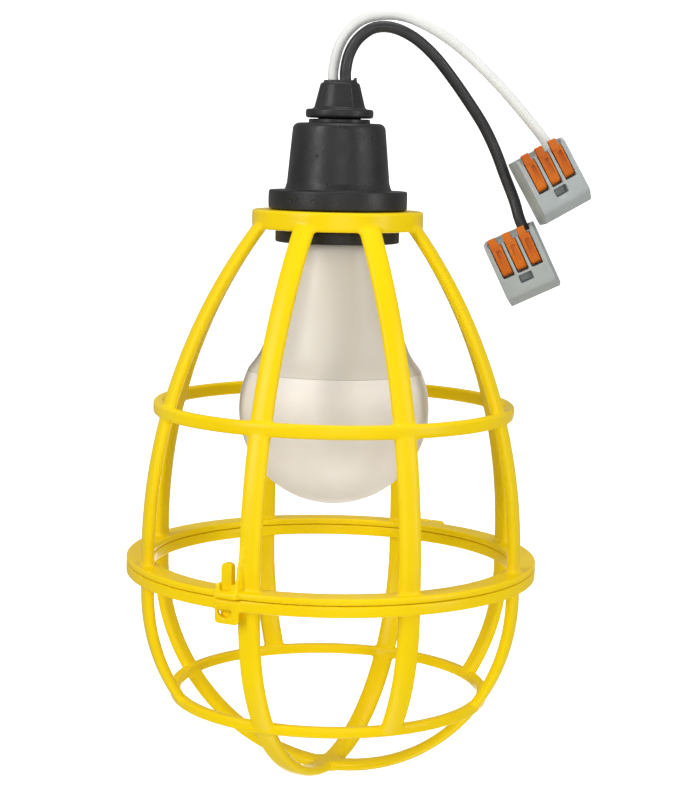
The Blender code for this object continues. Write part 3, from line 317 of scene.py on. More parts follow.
def finish_of(name, colour, tint, rough, grain, bump, metallic=0.0, pits=0.0, edge=None,
              stretch=(1.0, 1.0, 1.0), **sockets):
    """A moulded or metal finish: uneven colour and gloss, fine grain, pits and lighter edges.

    rough is (low, high) roughness, grain the grains per metre of the finest relief, bump its
    strength, pits the strength of small round pits, and edge the colour that worn edges take.
    """
    made = bpy.data.materials.new(name)
    made.use_nodes = True
    tree = made.node_tree
    shader = tree.nodes["Principled BSDF"]
    shader.inputs["Metallic"].default_value = metallic
    for socket, value in sockets.items():
        shader.inputs[socket.replace("_", " ")].default_value = value
    at = tree.nodes.new("ShaderNodeTexCoord")
    cloud = noise(tree, at, grain / 12, 4.0, stretch)
    tone = blend(tree, ramp(tree, cloud, 0.35, 0.68, 0.0, 1.0), colour, tint)
    if edge:
        geometry = tree.nodes.new("ShaderNodeNewGeometry")
        worn = tree.nodes.new("ShaderNodeMapRange")
        worn.inputs["From Min"].default_value = 0.53
        worn.inputs["From Max"].default_value = 0.62
        worn.inputs["To Max"].default_value = 0.5
        link(tree, geometry, "Pointiness", worn, "Value")
        tone = blend(tree, worn, tone, edge)
    tree.links.new(tone.outputs[2], shader.inputs["Base Color"])
    smear = noise(tree, at, grain / 5, 5.0, stretch)
    link(tree, ramp(tree, smear, 0.3, 0.7, *rough), 0, shader, "Roughness")
    relief = tree.nodes.new("ShaderNodeBump")
    relief.inputs["Strength"].default_value = bump
    relief.inputs["Distance"].default_value = 0.0003
    link(tree, noise(tree, at, grain, 4.0, stretch), 0, relief, "Height")
    if pits:
        holes = tree.nodes.new("ShaderNodeTexVoronoi")
        holes.inputs["Scale"].default_value = 260.0
        link(tree, at, "Object", holes, "Vector")
        sunk = tree.nodes.new("ShaderNodeBump")
        sunk.inputs["Strength"].default_value = pits
        sunk.inputs["Distance"].default_value = 0.0004
        where = noise(tree, at, 90.0, 1.0)
        depth = tree.nodes.new("ShaderNodeMath")
        depth.operation = "MULTIPLY"
        link(tree, ramp(tree, holes, 0.0, 0.16, -1.0, 0.0), 0, depth, 0)
        link(tree, ramp(tree, where, 0.52, 0.6, 0.0, 1.0), 0, depth, 1)
        link(tree, depth, 0, sunk, "Height")
        link(tree, sunk, "Normal", relief, "Normal")
    link(tree, relief, "Normal", shader, "Normal")
    return made


def pale_floor():
    made = finish_of("pale_floor", (0.93, 0.93, 0.93), (0.96, 0.96, 0.96), (0.7, 0.8), 40.0, 0.05)
    shader = made.node_tree.nodes["Principled BSDF"]
    shader.inputs["Emission Color"].default_value = (1.0, 1.0, 1.0, 1.0)
    shader.inputs["Emission Strength"].default_value = 1.0
    return made


def make_finishes():
    """Every finish on the lamp, by the name of its slot in the record."""
    yellow = dict(rough=(0.26, 0.38), grain=260.0, bump=0.03, edge=(0.96, 0.72, 0.0),
                  Specular_IOR_Level=0.18)
    return {
        "cage_yellow": finish_of("cage_yellow", (0.90, 0.65, 0.0), (0.87, 0.60, 0.0), **yellow),
        "rubber": finish_of("rubber", (0.011, 0.011, 0.012), (0.019, 0.019, 0.020), (0.36, 0.52),
                            900.0, 0.22, pits=0.8, edge=(0.036, 0.036, 0.038),
                            Specular_IOR_Level=0.36),
        "lead_white": finish_of("lead_white", (0.80, 0.80, 0.77), (0.74, 0.74, 0.71), (0.36, 0.48),
                                1500.0, 0.04),
        "lead_black": finish_of("lead_black", (0.013, 0.013, 0.014), (0.024, 0.024, 0.025),
                                (0.38, 0.52), 1500.0, 0.15),
        "bulb_white": finish_of("bulb_white", (0.68, 0.65, 0.60), (0.64, 0.61, 0.56), (0.34, 0.44),
                                300.0, 0.03, Specular_IOR_Level=0.4),
        "diffuser": finish_of("diffuser", (0.82, 0.79, 0.76), (0.79, 0.76, 0.725), (0.42, 0.52),
                              1600.0, 0.06),
        "connector_grey": finish_of("connector_grey", (0.38, 0.41, 0.40), (0.34, 0.37, 0.36),
                                    (0.34, 0.46), 1400.0, 0.10, edge=(0.55, 0.58, 0.57)),
        "lever_orange": finish_of("lever_orange", (0.62, 0.145, 0.003), (0.50, 0.10, 0.002),
                                  (0.32, 0.46), 1400.0, 0.10, edge=(0.86, 0.27, 0.015),
                                  Specular_IOR_Level=0.3),
        "brass": finish_of("brass", (0.72, 0.50, 0.20), (0.62, 0.41, 0.16), (0.22, 0.38), 1800.0,
                           0.08, metallic=1.0),
        "copper": finish_of("copper", (0.80, 0.38, 0.22), (0.66, 0.29, 0.16), (0.25, 0.42), 1800.0,
                            0.08, metallic=1.0),
        "steel": finish_of("steel", (0.56, 0.57, 0.58), (0.48, 0.49, 0.50), (0.22, 0.38), 1800.0,
                           0.06, metallic=1.0, stretch=(1.0, 1.0, 0.1)),
        "base_metal": finish_of("base_metal", (0.77, 0.78, 0.79), (0.66, 0.67, 0.68), (0.26, 0.40),
                                1500.0, 0.08, metallic=1.0),
        "base_glass": finish_of("base_glass", (0.015, 0.015, 0.02), (0.02, 0.02, 0.028),
                                (0.12, 0.25), 500.0, 0.05),
        "puck": finish_of("puck", (0.62, 0.58, 0.50), (0.55, 0.51, 0.43), (0.5, 0.7), 1500.0, 0.3),
        "board_green": finish_of("board_green", (0.03, 0.16, 0.06), (0.02, 0.12, 0.045), (0.3, 0.5),
                                 1200.0, 0.15),
        "board_white": finish_of("board_white", (0.80, 0.80, 0.78), (0.74, 0.74, 0.72), (0.4, 0.6),
                                 900.0, 0.06),
        "capacitor": finish_of("capacitor", (0.02, 0.03, 0.08), (0.015, 0.022, 0.06), (0.3, 0.45),
                               900.0, 0.05),
    }


# --- mesh building ---------------------------------------------------------------------------

def turned(outline, steps, closed=True):
    """Spin an outline of (radius, z) points about Z. A closed one off the axis joins up."""
    bm = bmesh.new()
    verts = [bm.verts.new((r, 0.0, z)) for r, z in outline]
    edges = [bm.edges.new(pair) for pair in zip(verts, verts[1:])]
    if closed and outline[0][0] > 0.0:
        edges.append(bm.edges.new((verts[-1], verts[0])))
    bmesh.ops.spin(bm, geom=verts + edges, axis=(0, 0, 1), cent=(0, 0, 0), angle=2 * pi,
                   steps=steps, use_merge=True)
    bmesh.ops.remove_doubles(bm, verts=bm.verts, dist=1e-4)
    bmesh.ops.recalc_face_normals(bm, faces=bm.faces)
    return bm


def filleted(corners, steps=5):
    """Round the corners of a closed outline; each corner is (x, y, radius)."""
    points = []
    for i, (x, y, radius) in enumerate(corners):
        here = Vector((x, y))
        back = Vector(corners[i - 1][:2]) - here
        ahead = Vector(corners[(i + 1) % len(corners)][:2]) - here
        if radius == 0.0 or back.length == 0.0 or ahead.length == 0.0:
            points.append((x, y))
            continue
        reach = min(radius / max(0.05, tan(back.angle(ahead) / 2)), 0.48 * back.length,
                    0.48 * ahead.length)
        start = here + back.normalized() * reach
        end = here + ahead.normalized() * reach
        for k in range(steps + 1):
            t = k / steps
            spot = start * (1 - t) ** 2 + here * 2 * t * (1 - t) + end * t ** 2
            points.append((spot.x, spot.y))
    return points


def rectangle(low, high, radius):
    """Corners of a rectangle between two (x, y) corners, all rounded alike."""
    return [(low[0], low[1], radius), (high[0], low[1], radius), (high[0], high[1], radius),
            (low[0], high[1], radius)]


def arc(centre, radius, start, end, count):
    """Points on an arc, angles in degrees."""
    turns = [radians(start + (end - start) * i / count) for i in range(count + 1)]
    return [(centre[0] + radius * cos(t), centre[1] + radius * sin(t)) for t in turns]


def rod(start, end, radius, sides=24):
    start, end = Vector(start), Vector(end)
    span = end - start
    bm = bmesh.new()
    bmesh.ops.create_cone(bm, cap_ends=True, segments=sides, radius1=radius, radius2=radius,
                          depth=span.length)
    turn = span.to_track_quat("Z", "Y").to_matrix().to_4x4()
    bm.transform(Matrix.Translation((start + end) / 2) @ turn)
    return bm


def block(low, high):
    low, high = Vector(low), Vector(high)
    bm = bmesh.new()
    bmesh.ops.create_cube(bm, size=1.0)
    bm.transform(Matrix.Translation((low + high) / 2) @ Matrix.Diagonal((*(high - low), 1.0)))
    return bm


def slab(outline, start, end, to_frame):
    """Extrude a closed outline of (a, b) points from start to end; to_frame maps (a, b, depth)."""
    bm = bmesh.new()
    face = bm.faces.new([bm.verts.new((a, b, start)) for a, b in outline])
    grown = bmesh.ops.extrude_face_region(bm, geom=[face])
    moved = [item for item in grown["geom"] if isinstance(item, bmesh.types.BMVert)]
    bmesh.ops.translate(bm, verts=moved, vec=(0, 0, end - start))
    bm.transform(to_frame)
    bmesh.ops.recalc_face_normals(bm, faces=bm.faces)
    return bm


def swept(points, sections, side=None):
    """Carry a section of (across, out) points along a path; side is its fixed sideways direction."""
    bm = bmesh.new()
    rings = []
    for i, point in enumerate(points):
        along = (points[min(i + 1, len(points) - 1)] - points[max(i - 1, 0)]).normalized()
        out = along.cross(side).normalized()
        rings.append([bm.verts.new(point + side * a + out * b) for a, b in sections])
    count = len(sections)
    for ring, after in zip(rings, rings[1:]):
        for i in range(count):
            bm.faces.new((ring[i], ring[(i + 1) % count], after[(i + 1) % count], after[i]))
    bm.faces.new(rings[0])
    bm.faces.new(rings[-1])
    bmesh.ops.recalc_face_normals(bm, faces=bm.faces)
    return bm


def placed(bm, matrix):
    bm.transform(matrix)
    return bm


def carrier(name, parts):
    """One object in millimetres from several closed bmeshes."""
    whole = bmesh.new()
    for part in parts:
        shell = bpy.data.meshes.new("shell")
        part.to_mesh(shell)
        part.free()
        whole.from_mesh(shell)
        bpy.data.meshes.remove(shell)
    mesh = bpy.data.meshes.new(name)
    whole.to_mesh(mesh)
    whole.free()
    obj = bpy.data.objects.new(name, mesh)
    PIECES.objects.link(obj)
    return obj


def settled(obj):
    """Apply an object's modifiers."""
    evaluated = obj.evaluated_get(bpy.context.evaluated_depsgraph_get())
    mesh = bpy.data.meshes.new_from_object(evaluated)
    spent = obj.data
    obj.modifiers.clear()
    obj.data = mesh
    bpy.data.meshes.remove(spent)
    return obj


def carve(obj, cutters):
    """Take closed bmeshes away from an object."""
    tools = [carrier(f"tool_{i}", [cutter]) for i, cutter in enumerate(cutters)]
    for tool in tools:
        step = obj.modifiers.new("carve", "BOOLEAN")
        step.operation = "DIFFERENCE"
        step.solver = "EXACT"
        step.object = tool
    settled(obj)
    for tool in tools:
        mesh = tool.data
        bpy.data.objects.remove(tool)
        bpy.data.meshes.remove(mesh)
    return obj


def moulded(obj, voxel, passes, keep):
    """Fuse overlapping shells into one skin with soft edges and filleted joints."""
    fuse = obj.modifiers.new("fuse", "REMESH")
    fuse.mode = "VOXEL"
    fuse.voxel_size = voxel
    soften = obj.modifiers.new("soften", "SMOOTH")
    soften.factor = 0.5
    soften.iterations = passes
    thin = obj.modifiers.new("thin", "DECIMATE")
    thin.ratio = keep
    return settled(obj)


def finished(obj, slot, body, nodes=(), angle=40.0):
    """Scale to metres, shade, dress and mount a piece in the frame."""
    obj.data.transform(Matrix.Scale(MM, 4))
    obj.data.shade_smooth()
    obj.data.set_sharp_from_angle(angle=radians(angle))
    obj.data.materials.clear()
    obj.data.materials.append(FINISHES[slot])
    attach(obj, body)
    if nodes:
        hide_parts(*nodes)
    return obj


# --- leads -----------------------------------------------------------------------------------

def connector_matrix(side):
    """Where a connector lies, in millimetres: X across, Y towards the wires, Z to the levers."""
    spec = CONNECTORS[side]
    lean = radians(spec["lean"])
    across = Vector((cos(lean), 0, sin(lean)))
    toward = Vector((-sin(lean), 0, cos(lean)))
    basis = Matrix((across, toward, Vector((0, -1, 0)))).transposed().to_4x4()
    return Matrix.Translation(spec["at"]) @ basis @ Matrix.Rotation(radians(spec["roll"]), 4, "Y")


def smooth_route(route, spacing):
    """Evenly spaced points on a Catmull-Rom curve through the route."""
    points = [Vector(p) for p in route]
    padded = [points[0] * 2 - points[1], *points, points[-1] * 2 - points[-2]]
    fine = []
    for a, b, c, d in zip(padded, padded[1:], padded[2:], padded[3:]):
        for i in range(24):
            t = i / 24
            fine.append(0.5 * (2 * b + (c - a) * t + (2 * a - 5 * b + 4 * c - d) * t * t
                               + (3 * b - a - 3 * c + d) * t ** 3))
    fine.append(points[-1])
    length = sum((q - p).length for p, q in zip(fine, fine[1:]))
    count = round(length / spacing)
    picked = [fine[0]]
    walked = 0.0
    for p, q in zip(fine, fine[1:]):
        walked += (q - p).length
        if walked >= length * len(picked) / count and len(picked) < count:
            picked.append(q)
    picked.append(fine[-1])
    return picked, length


def bore_foot(exit_point):
    """Where a lead starts inside the strain relief, spread from its exit."""
    spread = BORE_SPREAD if exit_point.y > 0 else -BORE_SPREAD
    return Vector((exit_point.x, exit_point.y + spread, BORE_FOOT))


def make_lead(side, exit_point, route, radius):
    """An insulated lead: out of the strain relief, over in one arch and into its connector."""
    connector = connector_matrix(side)
    mouth = connector @ Vector((WIRED_PORT_X, 2.0, 0))
    inside = connector @ Vector((WIRED_PORT_X, -LEAD_IN, 0))
    path, length = smooth_route([bore_foot(exit_point), exit_point, *route, mouth, inside],
                                LEAD_STEP)
    curve = bpy.data.curves.new(f"{side}_lead_cord", "CURVE")
    curve.dimensions = "3D"
    curve.bevel_depth = radius * MM
    curve.bevel_resolution = 7
    curve.use_fill_caps = True
    spline = curve.splines.new("POLY")
    spline.points.add(len(path) - 1)
    for spot, point in zip(spline.points, path):
        spot.co = (*(point * MM), 1.0)
    spline.use_smooth = True
    curve.materials.append(FINISHES[f"lead_{side}"])
    lead = bpy.data.objects.new(f"{side}_lead_cord", curve)
    PIECES.objects.link(lead)
    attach(lead, "socket")
    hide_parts(f"{side}_lead")
    return lead, length


def make_leads():
    for side, exit_point, route, radius in (("white", WHITE_EXIT, WHITE_ROUTE, WHITE_R),
                                            ("black", BLACK_EXIT, BLACK_ROUTE, BLACK_R)):
        lead, length = make_lead(side, exit_point, route, radius)
        ends = [bpy.data.objects[f"{side}_connector_shell"]]
        ends += [bpy.data.objects[f"{side}_lever_grip_{i}"] for i in (1, 2, 3)]


# --- socket ----------------------------------------------------------------------------------

def raised(bm, azimuth, half_width, height, low, high, least_r):
    """Push the outer wall out (or in) along a narrow upright strip."""
    for vert in bm.verts:
        r = vert.co.to_2d().length
        if r < least_r or not low < vert.co.z < high:
            continue
        turn = (degrees(vert.co.to_2d().angle_signed(Vector((1, 0)), 0.0)) * -1 - azimuth) % 360
        turn = min(turn, 360 - turn)
        away = radians(turn) * r / half_width
        fade = min(1.0, (vert.co.z - low) / 0.8, (high - vert.co.z) / 0.8)
        grown = 1 + height * exp(-away * away) * fade / r
        vert.co.x *= grown
        vert.co.y *= grown


def make_strain_relief():
    cone_foot = -BUSHING_CONE_H
    flange_top = BUSHING_FLANGE_FOOT + BUSHING_FLANGE_H
    spigot_foot = foot_of("strain_relief")
    corners = [(0.0, 0.0, 0.0), (BUSHING_TOP_R, 0.0, 1.3), (BUSHING_CONE_R, cone_foot, 0.8),
               (BUSHING_CONE_R + 0.6, flange_top, 0.8), (BUSHING_FLANGE_R, flange_top, 1.1),
               (BUSHING_FLANGE_R, BUSHING_FLANGE_FOOT, 1.0), (SPIGOT_R, BUSHING_FLANGE_FOOT, 0.3),
               (SPIGOT_R, spigot_foot, 0.5), (0.0, spigot_foot, 0.0)]
    body = turned(subdivided(filleted(corners), 0.7), 144)
    for azimuth, height in ((-48.0, 0.5), (-78.0, -0.45), (-118.0, 0.35), (60.0, 0.4), (150.0, 0.35)):
        raised(body, azimuth, 1.0, height, cone_foot - 0.6, -0.5, BUSHING_TOP_R - 1.2)
    lugs = []
    for exit_point, radius in ((WHITE_EXIT, WHITE_R), (BLACK_EXIT, BLACK_R)):
        ring = turned(filleted(rectangle((radius + GAP, -2.0), (radius + GAP + 1.0, 0.7), 0.35)), 32)
        lugs.append(placed(ring, Matrix.Translation(exit_point)))
    obj = carrier("strain_relief_boot", [body, *lugs])
    ear = slab(filleted([(0.0, -2.0, 0.3), (1.5, -2.0, 0.3), (1.2, 1.7, 0.6), (0.2, 1.2, 0.5)]),
               -1.2, 1.2, Matrix.Rotation(radians(90), 4, "X"))
    ear = placed(ear, Matrix.Translation((3.9, -1.2, 0.0)))
    obj.data = joined(obj.data, ear)
    moulded(obj, 0.16, 3, 0.35)
    bores = []
    for exit_point, radius in ((WHITE_EXIT, WHITE_R), (BLACK_EXIT, BLACK_R)):
        foot = bore_foot(exit_point)
        along = (exit_point - foot).normalized()
        bores.append(rod(foot - along * 6, exit_point + along * 6, radius + 0.12, 32))
    finished(carve(obj, bores), "rubber", "socket", ["strain_relief"])


def subdivided(outline, step):
    """Add points on an outline's straight runs, no further apart than a step."""
    made = [outline[0]]
    for a, b in zip(outline, outline[1:]):
        gap = (Vector(b) - Vector(a)).length
        count = max(1, round(gap / step))
        made += [tuple(Vector(a).lerp(Vector(b), k / count)) for k in range(1, count + 1)]
    return made


def joined(mesh, bm):
    """The mesh with a bmesh added to it."""
    whole = bmesh.new()
    whole.from_mesh(mesh)
    extra = bpy.data.meshes.new("extra")
    bm.to_mesh(extra)
    bm.free()
    whole.from_mesh(extra)
    bpy.data.meshes.remove(extra)
    whole.to_mesh(mesh)
    whole.free()
    return mesh


def make_socket_boot():
    shell_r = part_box("screw_shell")[1].x / MM + GAP
    puck_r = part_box("insulator_puck")[1].x / MM + GAP
    shoulder = top_of("screw_shell") - 3.6 + GAP
    puck_top = top_of("insulator_puck") + GAP
    chamber_top = NECK_TOP - 3.1
    corners = [(SPIGOT_R + GAP, NECK_TOP, 0.3), (NECK_R, NECK_TOP, 0.4), (NECK_R, BODY_TOP, 0.4),
               (BODY_TOP_R, BODY_TOP, 2.2), (BODY_TOP_R + 0.8, BODY_TOP - 8.3, 6.0),
               (BODY_LOW_R, SEAT_TOP + 2.2, 1.5), (BODY_LOW_R + 0.9, SEAT_TOP, 0.7),
               (SEAT_R, SEAT_TOP, 0.6), (SEAT_R, SEAT_FOOT, 0.5), (GROOVE_R, SEAT_FOOT, 0.2),
               (GROOVE_R, LIP_TOP, 0.2), (LIP_R, LIP_TOP, 0.5), (LIP_R, LIP_FOOT, 0.7),
               (MOUTH_R, LIP_FOOT, 0.6), (MOUTH_R, LIP_TOP - 0.2, 0.1), (shell_r, LIP_TOP - 0.2, 0.1),
               (shell_r, shoulder, 0.1), (puck_r, shoulder, 0.1), (puck_r, puck_top, 0.1),
               (11.8, puck_top, 0.1), (11.8, chamber_top, 0.3), (SPIGOT_R + GAP, chamber_top, 0.2)]
    outline = filleted(corners, 6)
    body = turned(subdivided(outline, 1.6), 192)
    for azimuth in (-4.0, 176.0):
        raised(body, azimuth, 0.35, 0.16, SEAT_TOP + 0.5, BODY_TOP - 0.4, NECK_R)
        raised(body, azimuth, 0.35, 0.14, SEAT_FOOT + 0.1, SEAT_TOP - 0.3, SEAT_R - 1.5)
    obj = carrier("socket_boot", [body])
    finished(obj, "rubber", "socket", ["socket_body"])


# --- bulb ------------------------------------------------------------------------------------

def smooth_profile(points, count):
    """A Catmull-Rom curve through (radius, z) points."""
    route = [Vector((r, 0.0, z)) for r, z in points]
    picked, _ = smooth_route(route, sum((b - a).length for a, b in zip(route, route[1:])) / count)
    return [(p.x, p.z) for p in picked]


def make_bulb():
    neck_z = BULB_NECK_TOP - 3.8
    cone_z = BULB_Z + sqrt(BULB_R ** 2 - BULB_CONE_R ** 2)
    mid = ((BULB_NECK_R + BULB_CONE_R) / 2 - 0.6, (neck_z + cone_z) / 2)
    rim_r = sqrt(BULB_R ** 2 - (PARTING_Z - BULB_Z) ** 2)
    skin = smooth_profile([(BULB_NECK_R, neck_z), mid, (BULB_CONE_R, cone_z),
                           (rim_r, PARTING_Z + PARTING_EDGE)], 40)
    spigot_r = BULB_NECK_R - 0.8
    wall = BULB_WALL
    outline = [(spigot_r - 1.6, BULB_NECK_TOP),
               *arc((spigot_r - 0.6, BULB_NECK_TOP - 0.6), 0.6, 90, 15, 5),
               (BULB_NECK_R - 0.12, neck_z + 1.2), *skin, (rim_r - PARTING_EDGE, PARTING_Z),
               (rim_r - wall, PARTING_Z),
               *[(r - wall, z + 0.3) for r, z in reversed(skin)], (spigot_r - 1.6, neck_z)]
    cone = carrier("bulb_cone", [turned(outline, 160)])
    finished(cone, "bulb_white", "bulb", ["bulb_housing"])

    top = PARTING_Z - PARTING_GAP
    inner_r = BULB_R - DIFFUSER_WALL
    start = degrees(asin((top - BULB_Z) / BULB_R))
    inner_start = degrees(asin((top - BULB_Z) / inner_r))
    outer = arc((0.0, BULB_Z), BULB_R, start - 0.6, -90, 56)
    inner = arc((0.0, BULB_Z), inner_r, -90, inner_start, 56)
    outer[-1] = (0.0, BULB_Z - BULB_R)
    inner[0] = (0.0, BULB_Z - inner_r)
    bowl = bmesh.new()
    rim = (outer[0][0] - PARTING_EDGE, top)
    for part in ([rim, *outer], [rim, *reversed(inner)]):
        verts = [bowl.verts.new((r, 0, z)) for r, z in part]
        edges = [bowl.edges.new(pair) for pair in zip(verts, verts[1:])]
        bmesh.ops.spin(bowl, geom=verts + edges, axis=(0, 0, 1), cent=(0, 0, 0), angle=2 * pi,
                       steps=160, use_merge=True)
    bmesh.ops.remove_doubles(bowl, verts=bowl.verts, dist=1e-4)
    bmesh.ops.recalc_face_normals(bowl, faces=bowl.faces)
    finished(carrier("bulb_dome", [bowl]), "diffuser", "bulb", ["bulb_diffuser"])


# --- guard cage ------------------------------------------------------------------------------

def rib_section(width, thickness, power=2.7, count=20):
    """A rounded bar's section: a superellipse of (across, out) points."""
    points = []
    for i in range(count):
        c, s = cos(2 * pi * i / count), sin(2 * pi * i / count)
        points.append((width / 2 * abs(c) ** (2 / power) * (1 if c > 0 else -1),
                       thickness / 2 * abs(s) ** (2 / power) * (1 if s > 0 else -1)))
    return points


def rib_along(path, azimuth):
    """A cage bar along (radius, z) points in the upright plane at an azimuth."""
    out = Vector((cos(radians(azimuth)), sin(radians(azimuth)), 0.0))
    side = Vector((-out.y, out.x, 0.0))
    return swept([out * r + Vector((0, 0, z)) for r, z in path], rib_section(RIB_W, RIB_T), side)


def ring(inner, outer, foot, top, radius, steps=160):
    return turned(filleted(rectangle((inner, foot), (outer, top), radius), 4), steps)


def upper_rib_r(z):
    rise = max(0.0, z - (UPPER_TOP + 3.0))
    return RIB_R - (RIB_ARC_R - sqrt(RIB_ARC_R ** 2 - rise ** 2))


def rib_azimuths():
    return [FIRST_RIB + 360 / RIB_COUNT * i for i in range(RIB_COUNT)]


def frame_at(azimuth):
    return Matrix.Rotation(radians(azimuth), 4, "Z")


def in_rim(low, high, azimuth):
    """A block in the rim's frame: X outward, Y along the rim, Z up."""
    return placed(block(low, high), frame_at(azimuth))


def rim_rod(radius_at, z, half, radius, azimuth, start=None):
    start = -half if start is None else start
    return placed(rod((radius_at, start, z), (radius_at, half, z), radius), frame_at(azimuth))


def make_upper_cage():
    foot = UPPER_FOOT + 0.6
    top = COLLAR_TOP - 3.0
    heights = [foot + (top - foot) * i / 40 for i in range(41)]
    parts = [rib_along([(upper_rib_r(z), z) for z in heights], azimuth) for azimuth in rib_azimuths()]
    band_r = upper_rib_r(BAND_Z) + 0.4
    parts.append(ring(band_r - RIB_T / 2, band_r + RIB_T / 2, BAND_Z - BAND_H / 2,
                      BAND_Z + BAND_H / 2, 1.2))
    parts.append(ring(COLLAR_BORE_R, COLLAR_R, COLLAR_FOOT, COLLAR_TOP, 0.8))
    rim = carrier("rim", [ring(RIM_BORE_R, RIM_OUTER_R, UPPER_FOOT - SEAM_LAP, UPPER_TOP, RIM_EDGE)])
    half = TAB_W / 2 + GAP
    for start, end in ((-half - 1.2, 0.4 - half), (half - 0.4, half + 1.2)):
        ear = [(STEM_IN - 0.4, UPPER_FOOT + 0.4, 0.0), (FLANGE_R - 0.3, UPPER_FOOT + 0.4, 0.0),
               (FLANGE_R - 0.3, UPPER_TOP + 2.1, 0.9), (STEM_IN - 0.4, UPPER_TOP + 2.1, 0.9)]
        parts.append(placed(slab(filleted(ear), -end, -start, UPRIGHT), frame_at(LATCH_AZIMUTH)))
    left = CATCH_SHIFT - CATCH_W / 2
    right = CATCH_SHIFT + CATCH_W / 2
    bump = [(STEM_OUT + 0.1, left, 0.0), (FLANGE_R + 1.6, left, 0.9), (FLANGE_R + 1.6, right, 0.9),
            (STEM_OUT + 0.1, right, 0.0)]
    parts.append(placed(slab(filleted(bump), UPPER_FOOT, UPPER_TOP - 0.1, Matrix.Identity(4)),
                        frame_at(LATCH_AZIMUTH)))
    gusset = [(FLANGE_R - 3.4, UPPER_TOP - 0.5, 0.0), (FLANGE_R + 0.4, UPPER_TOP - 0.5, 0.0),
              (FLANGE_R - 2.6, UPPER_TOP + 12.5, 0.8), (FLANGE_R - 3.4, UPPER_TOP + 12.5, 0.3)]
    parts.append(placed(slab(filleted(gusset), -4.6, -3.4, UPRIGHT), frame_at(LATCH_AZIMUTH)))
    for start, end in ((-HINGE_HALF, -KNUCKLE_HALF - GAP), (KNUCKLE_HALF + GAP, HINGE_HALF)):
        parts.append(rim_rod(HINGE_AXIS_R, HINGE_AXIS_Z, end, KNUCKLE_R, HINGE_AZIMUTH, start))
        parts.append(in_rim((FLANGE_R - 1.5, start, HINGE_AXIS_Z + 0.35), (HINGE_AXIS_R, end, UPPER_TOP),
                            HINGE_AZIMUTH))
    slot = in_rim((STEM_IN - 0.7, -half, UPPER_FOOT - 1), (STEM_OUT + GAP, half, UPPER_TOP + 1),
                  LATCH_AZIMUTH)
    carve(rim, [slot])
    cage = carrier("cage_upper_shell", parts)
    cage.data = absorbed(cage.data, rim)
    moulded(cage, CAGE_VOXEL, 4, CAGE_KEPT)
    hole = rim_rod(HINGE_AXIS_R, HINGE_AXIS_Z, 9.0, PIN_R + 0.2, HINGE_AZIMUTH)
    finished(carve(cage, [hole]), "cage_yellow", "socket", ["upper_cage"])


def absorbed(mesh, obj):
    """The mesh with another object's added; the object goes."""
    extra = bmesh.new()
    extra.from_mesh(obj.data)
    spent = obj.data
    bpy.data.objects.remove(obj)
    bpy.data.meshes.remove(spent)
    return joined(mesh, extra)


def basket_path(end, count):
    top = LOWER_TOP - 0.8
    return [(RIB_R, top), *arc((0.0, BASKET_Z), RIB_R, 0, end, count)]


def make_basket():
    azimuths = rib_azimuths()
    parts = []
    for azimuth in (azimuths[1], azimuths[3]):
        parts.append(rib_along(basket_path(-180, 96) + [(-RIB_R, LOWER_TOP - 0.8)], azimuth))
    short_end = -degrees(asin((BASKET_Z - LOWER_RING_Z) / RIB_R))
    for azimuth in azimuths[::2]:
        parts.append(rib_along(basket_path(short_end, 24), azimuth))
    ring_r = sqrt(RIB_R ** 2 - (LOWER_RING_Z - BASKET_Z) ** 2) - 0.05
    parts.append(ring(ring_r - RIB_T / 2, ring_r + RIB_T / 2, LOWER_RING_Z - LOWER_RING_H / 2,
                      LOWER_RING_Z + LOWER_RING_H / 2, 0.9))
    half = degrees(asin(HUB_R / RIB_R))
    dish = arc((0.0, BASKET_Z), RIB_R + RIB_T / 2 - 0.15, -90, -90 + half, 6)
    dish += arc((0.0, BASKET_Z), RIB_R - RIB_T / 2 + 0.15, -90 + half, -90, 6)
    dish[0] = (0.0, dish[0][1])
    dish[-1] = (0.0, dish[-1][1])
    parts.append(turned(dish, 48))
    parts.append(rim_rod(HINGE_AXIS_R, HINGE_AXIS_Z, KNUCKLE_HALF, KNUCKLE_R, HINGE_AZIMUTH))
    parts.append(in_rim((FLANGE_R - 1.5, -KNUCKLE_HALF, LOWER_FOOT + 0.2),
                        (HINGE_AXIS_R, KNUCKLE_HALF, HINGE_AXIS_Z - 0.35), HINGE_AZIMUTH))

    rim = carrier("rim", [ring(RIM_BORE_R, RIM_OUTER_R, LOWER_FOOT, LOWER_TOP + SEAM_LAP, RIM_EDGE)])
    inner = TAB_W / 2 + GAP
    slot = in_rim((STEM_IN - 1.6, -inner, LOWER_FOOT - 1), (FLANGE_R - 1.0, inner, LOWER_TOP + 1),
                  LATCH_AZIMUTH)
    low, high = LOWER_FOOT - CATCH_DROP, LOWER_TOP - 0.3
    plate = [(CATCH_SHIFT - CATCH_W / 2, low, 1.6), (CATCH_SHIFT + CATCH_W / 2, low, 1.6),
             (CATCH_SHIFT + CATCH_W / 2, high, 0.2), (CATCH_SHIFT - CATCH_W / 2, high, 0.2)]
    plate = slab(filleted(plate, 6), FLANGE_R - 0.98, FLANGE_R + 0.55,
                 frame_at(LATCH_AZIMUTH) @ SIDEWAYS)
    carve(rim, [slot])
    catch = carve(carrier("catch", [plate]), [notch_tool()])
    basket = carrier("cage_basket_shell", parts)
    basket.data = absorbed(absorbed(basket.data, rim), catch)
    moulded(basket, CAGE_VOXEL, 4, CAGE_KEPT)
    hole = rim_rod(HINGE_AXIS_R, HINGE_AXIS_Z, 9.0, PIN_R + 0.2, HINGE_AZIMUTH)
    finished(carve(basket, [hole]), "cage_yellow", "basket", ["lower_basket"])


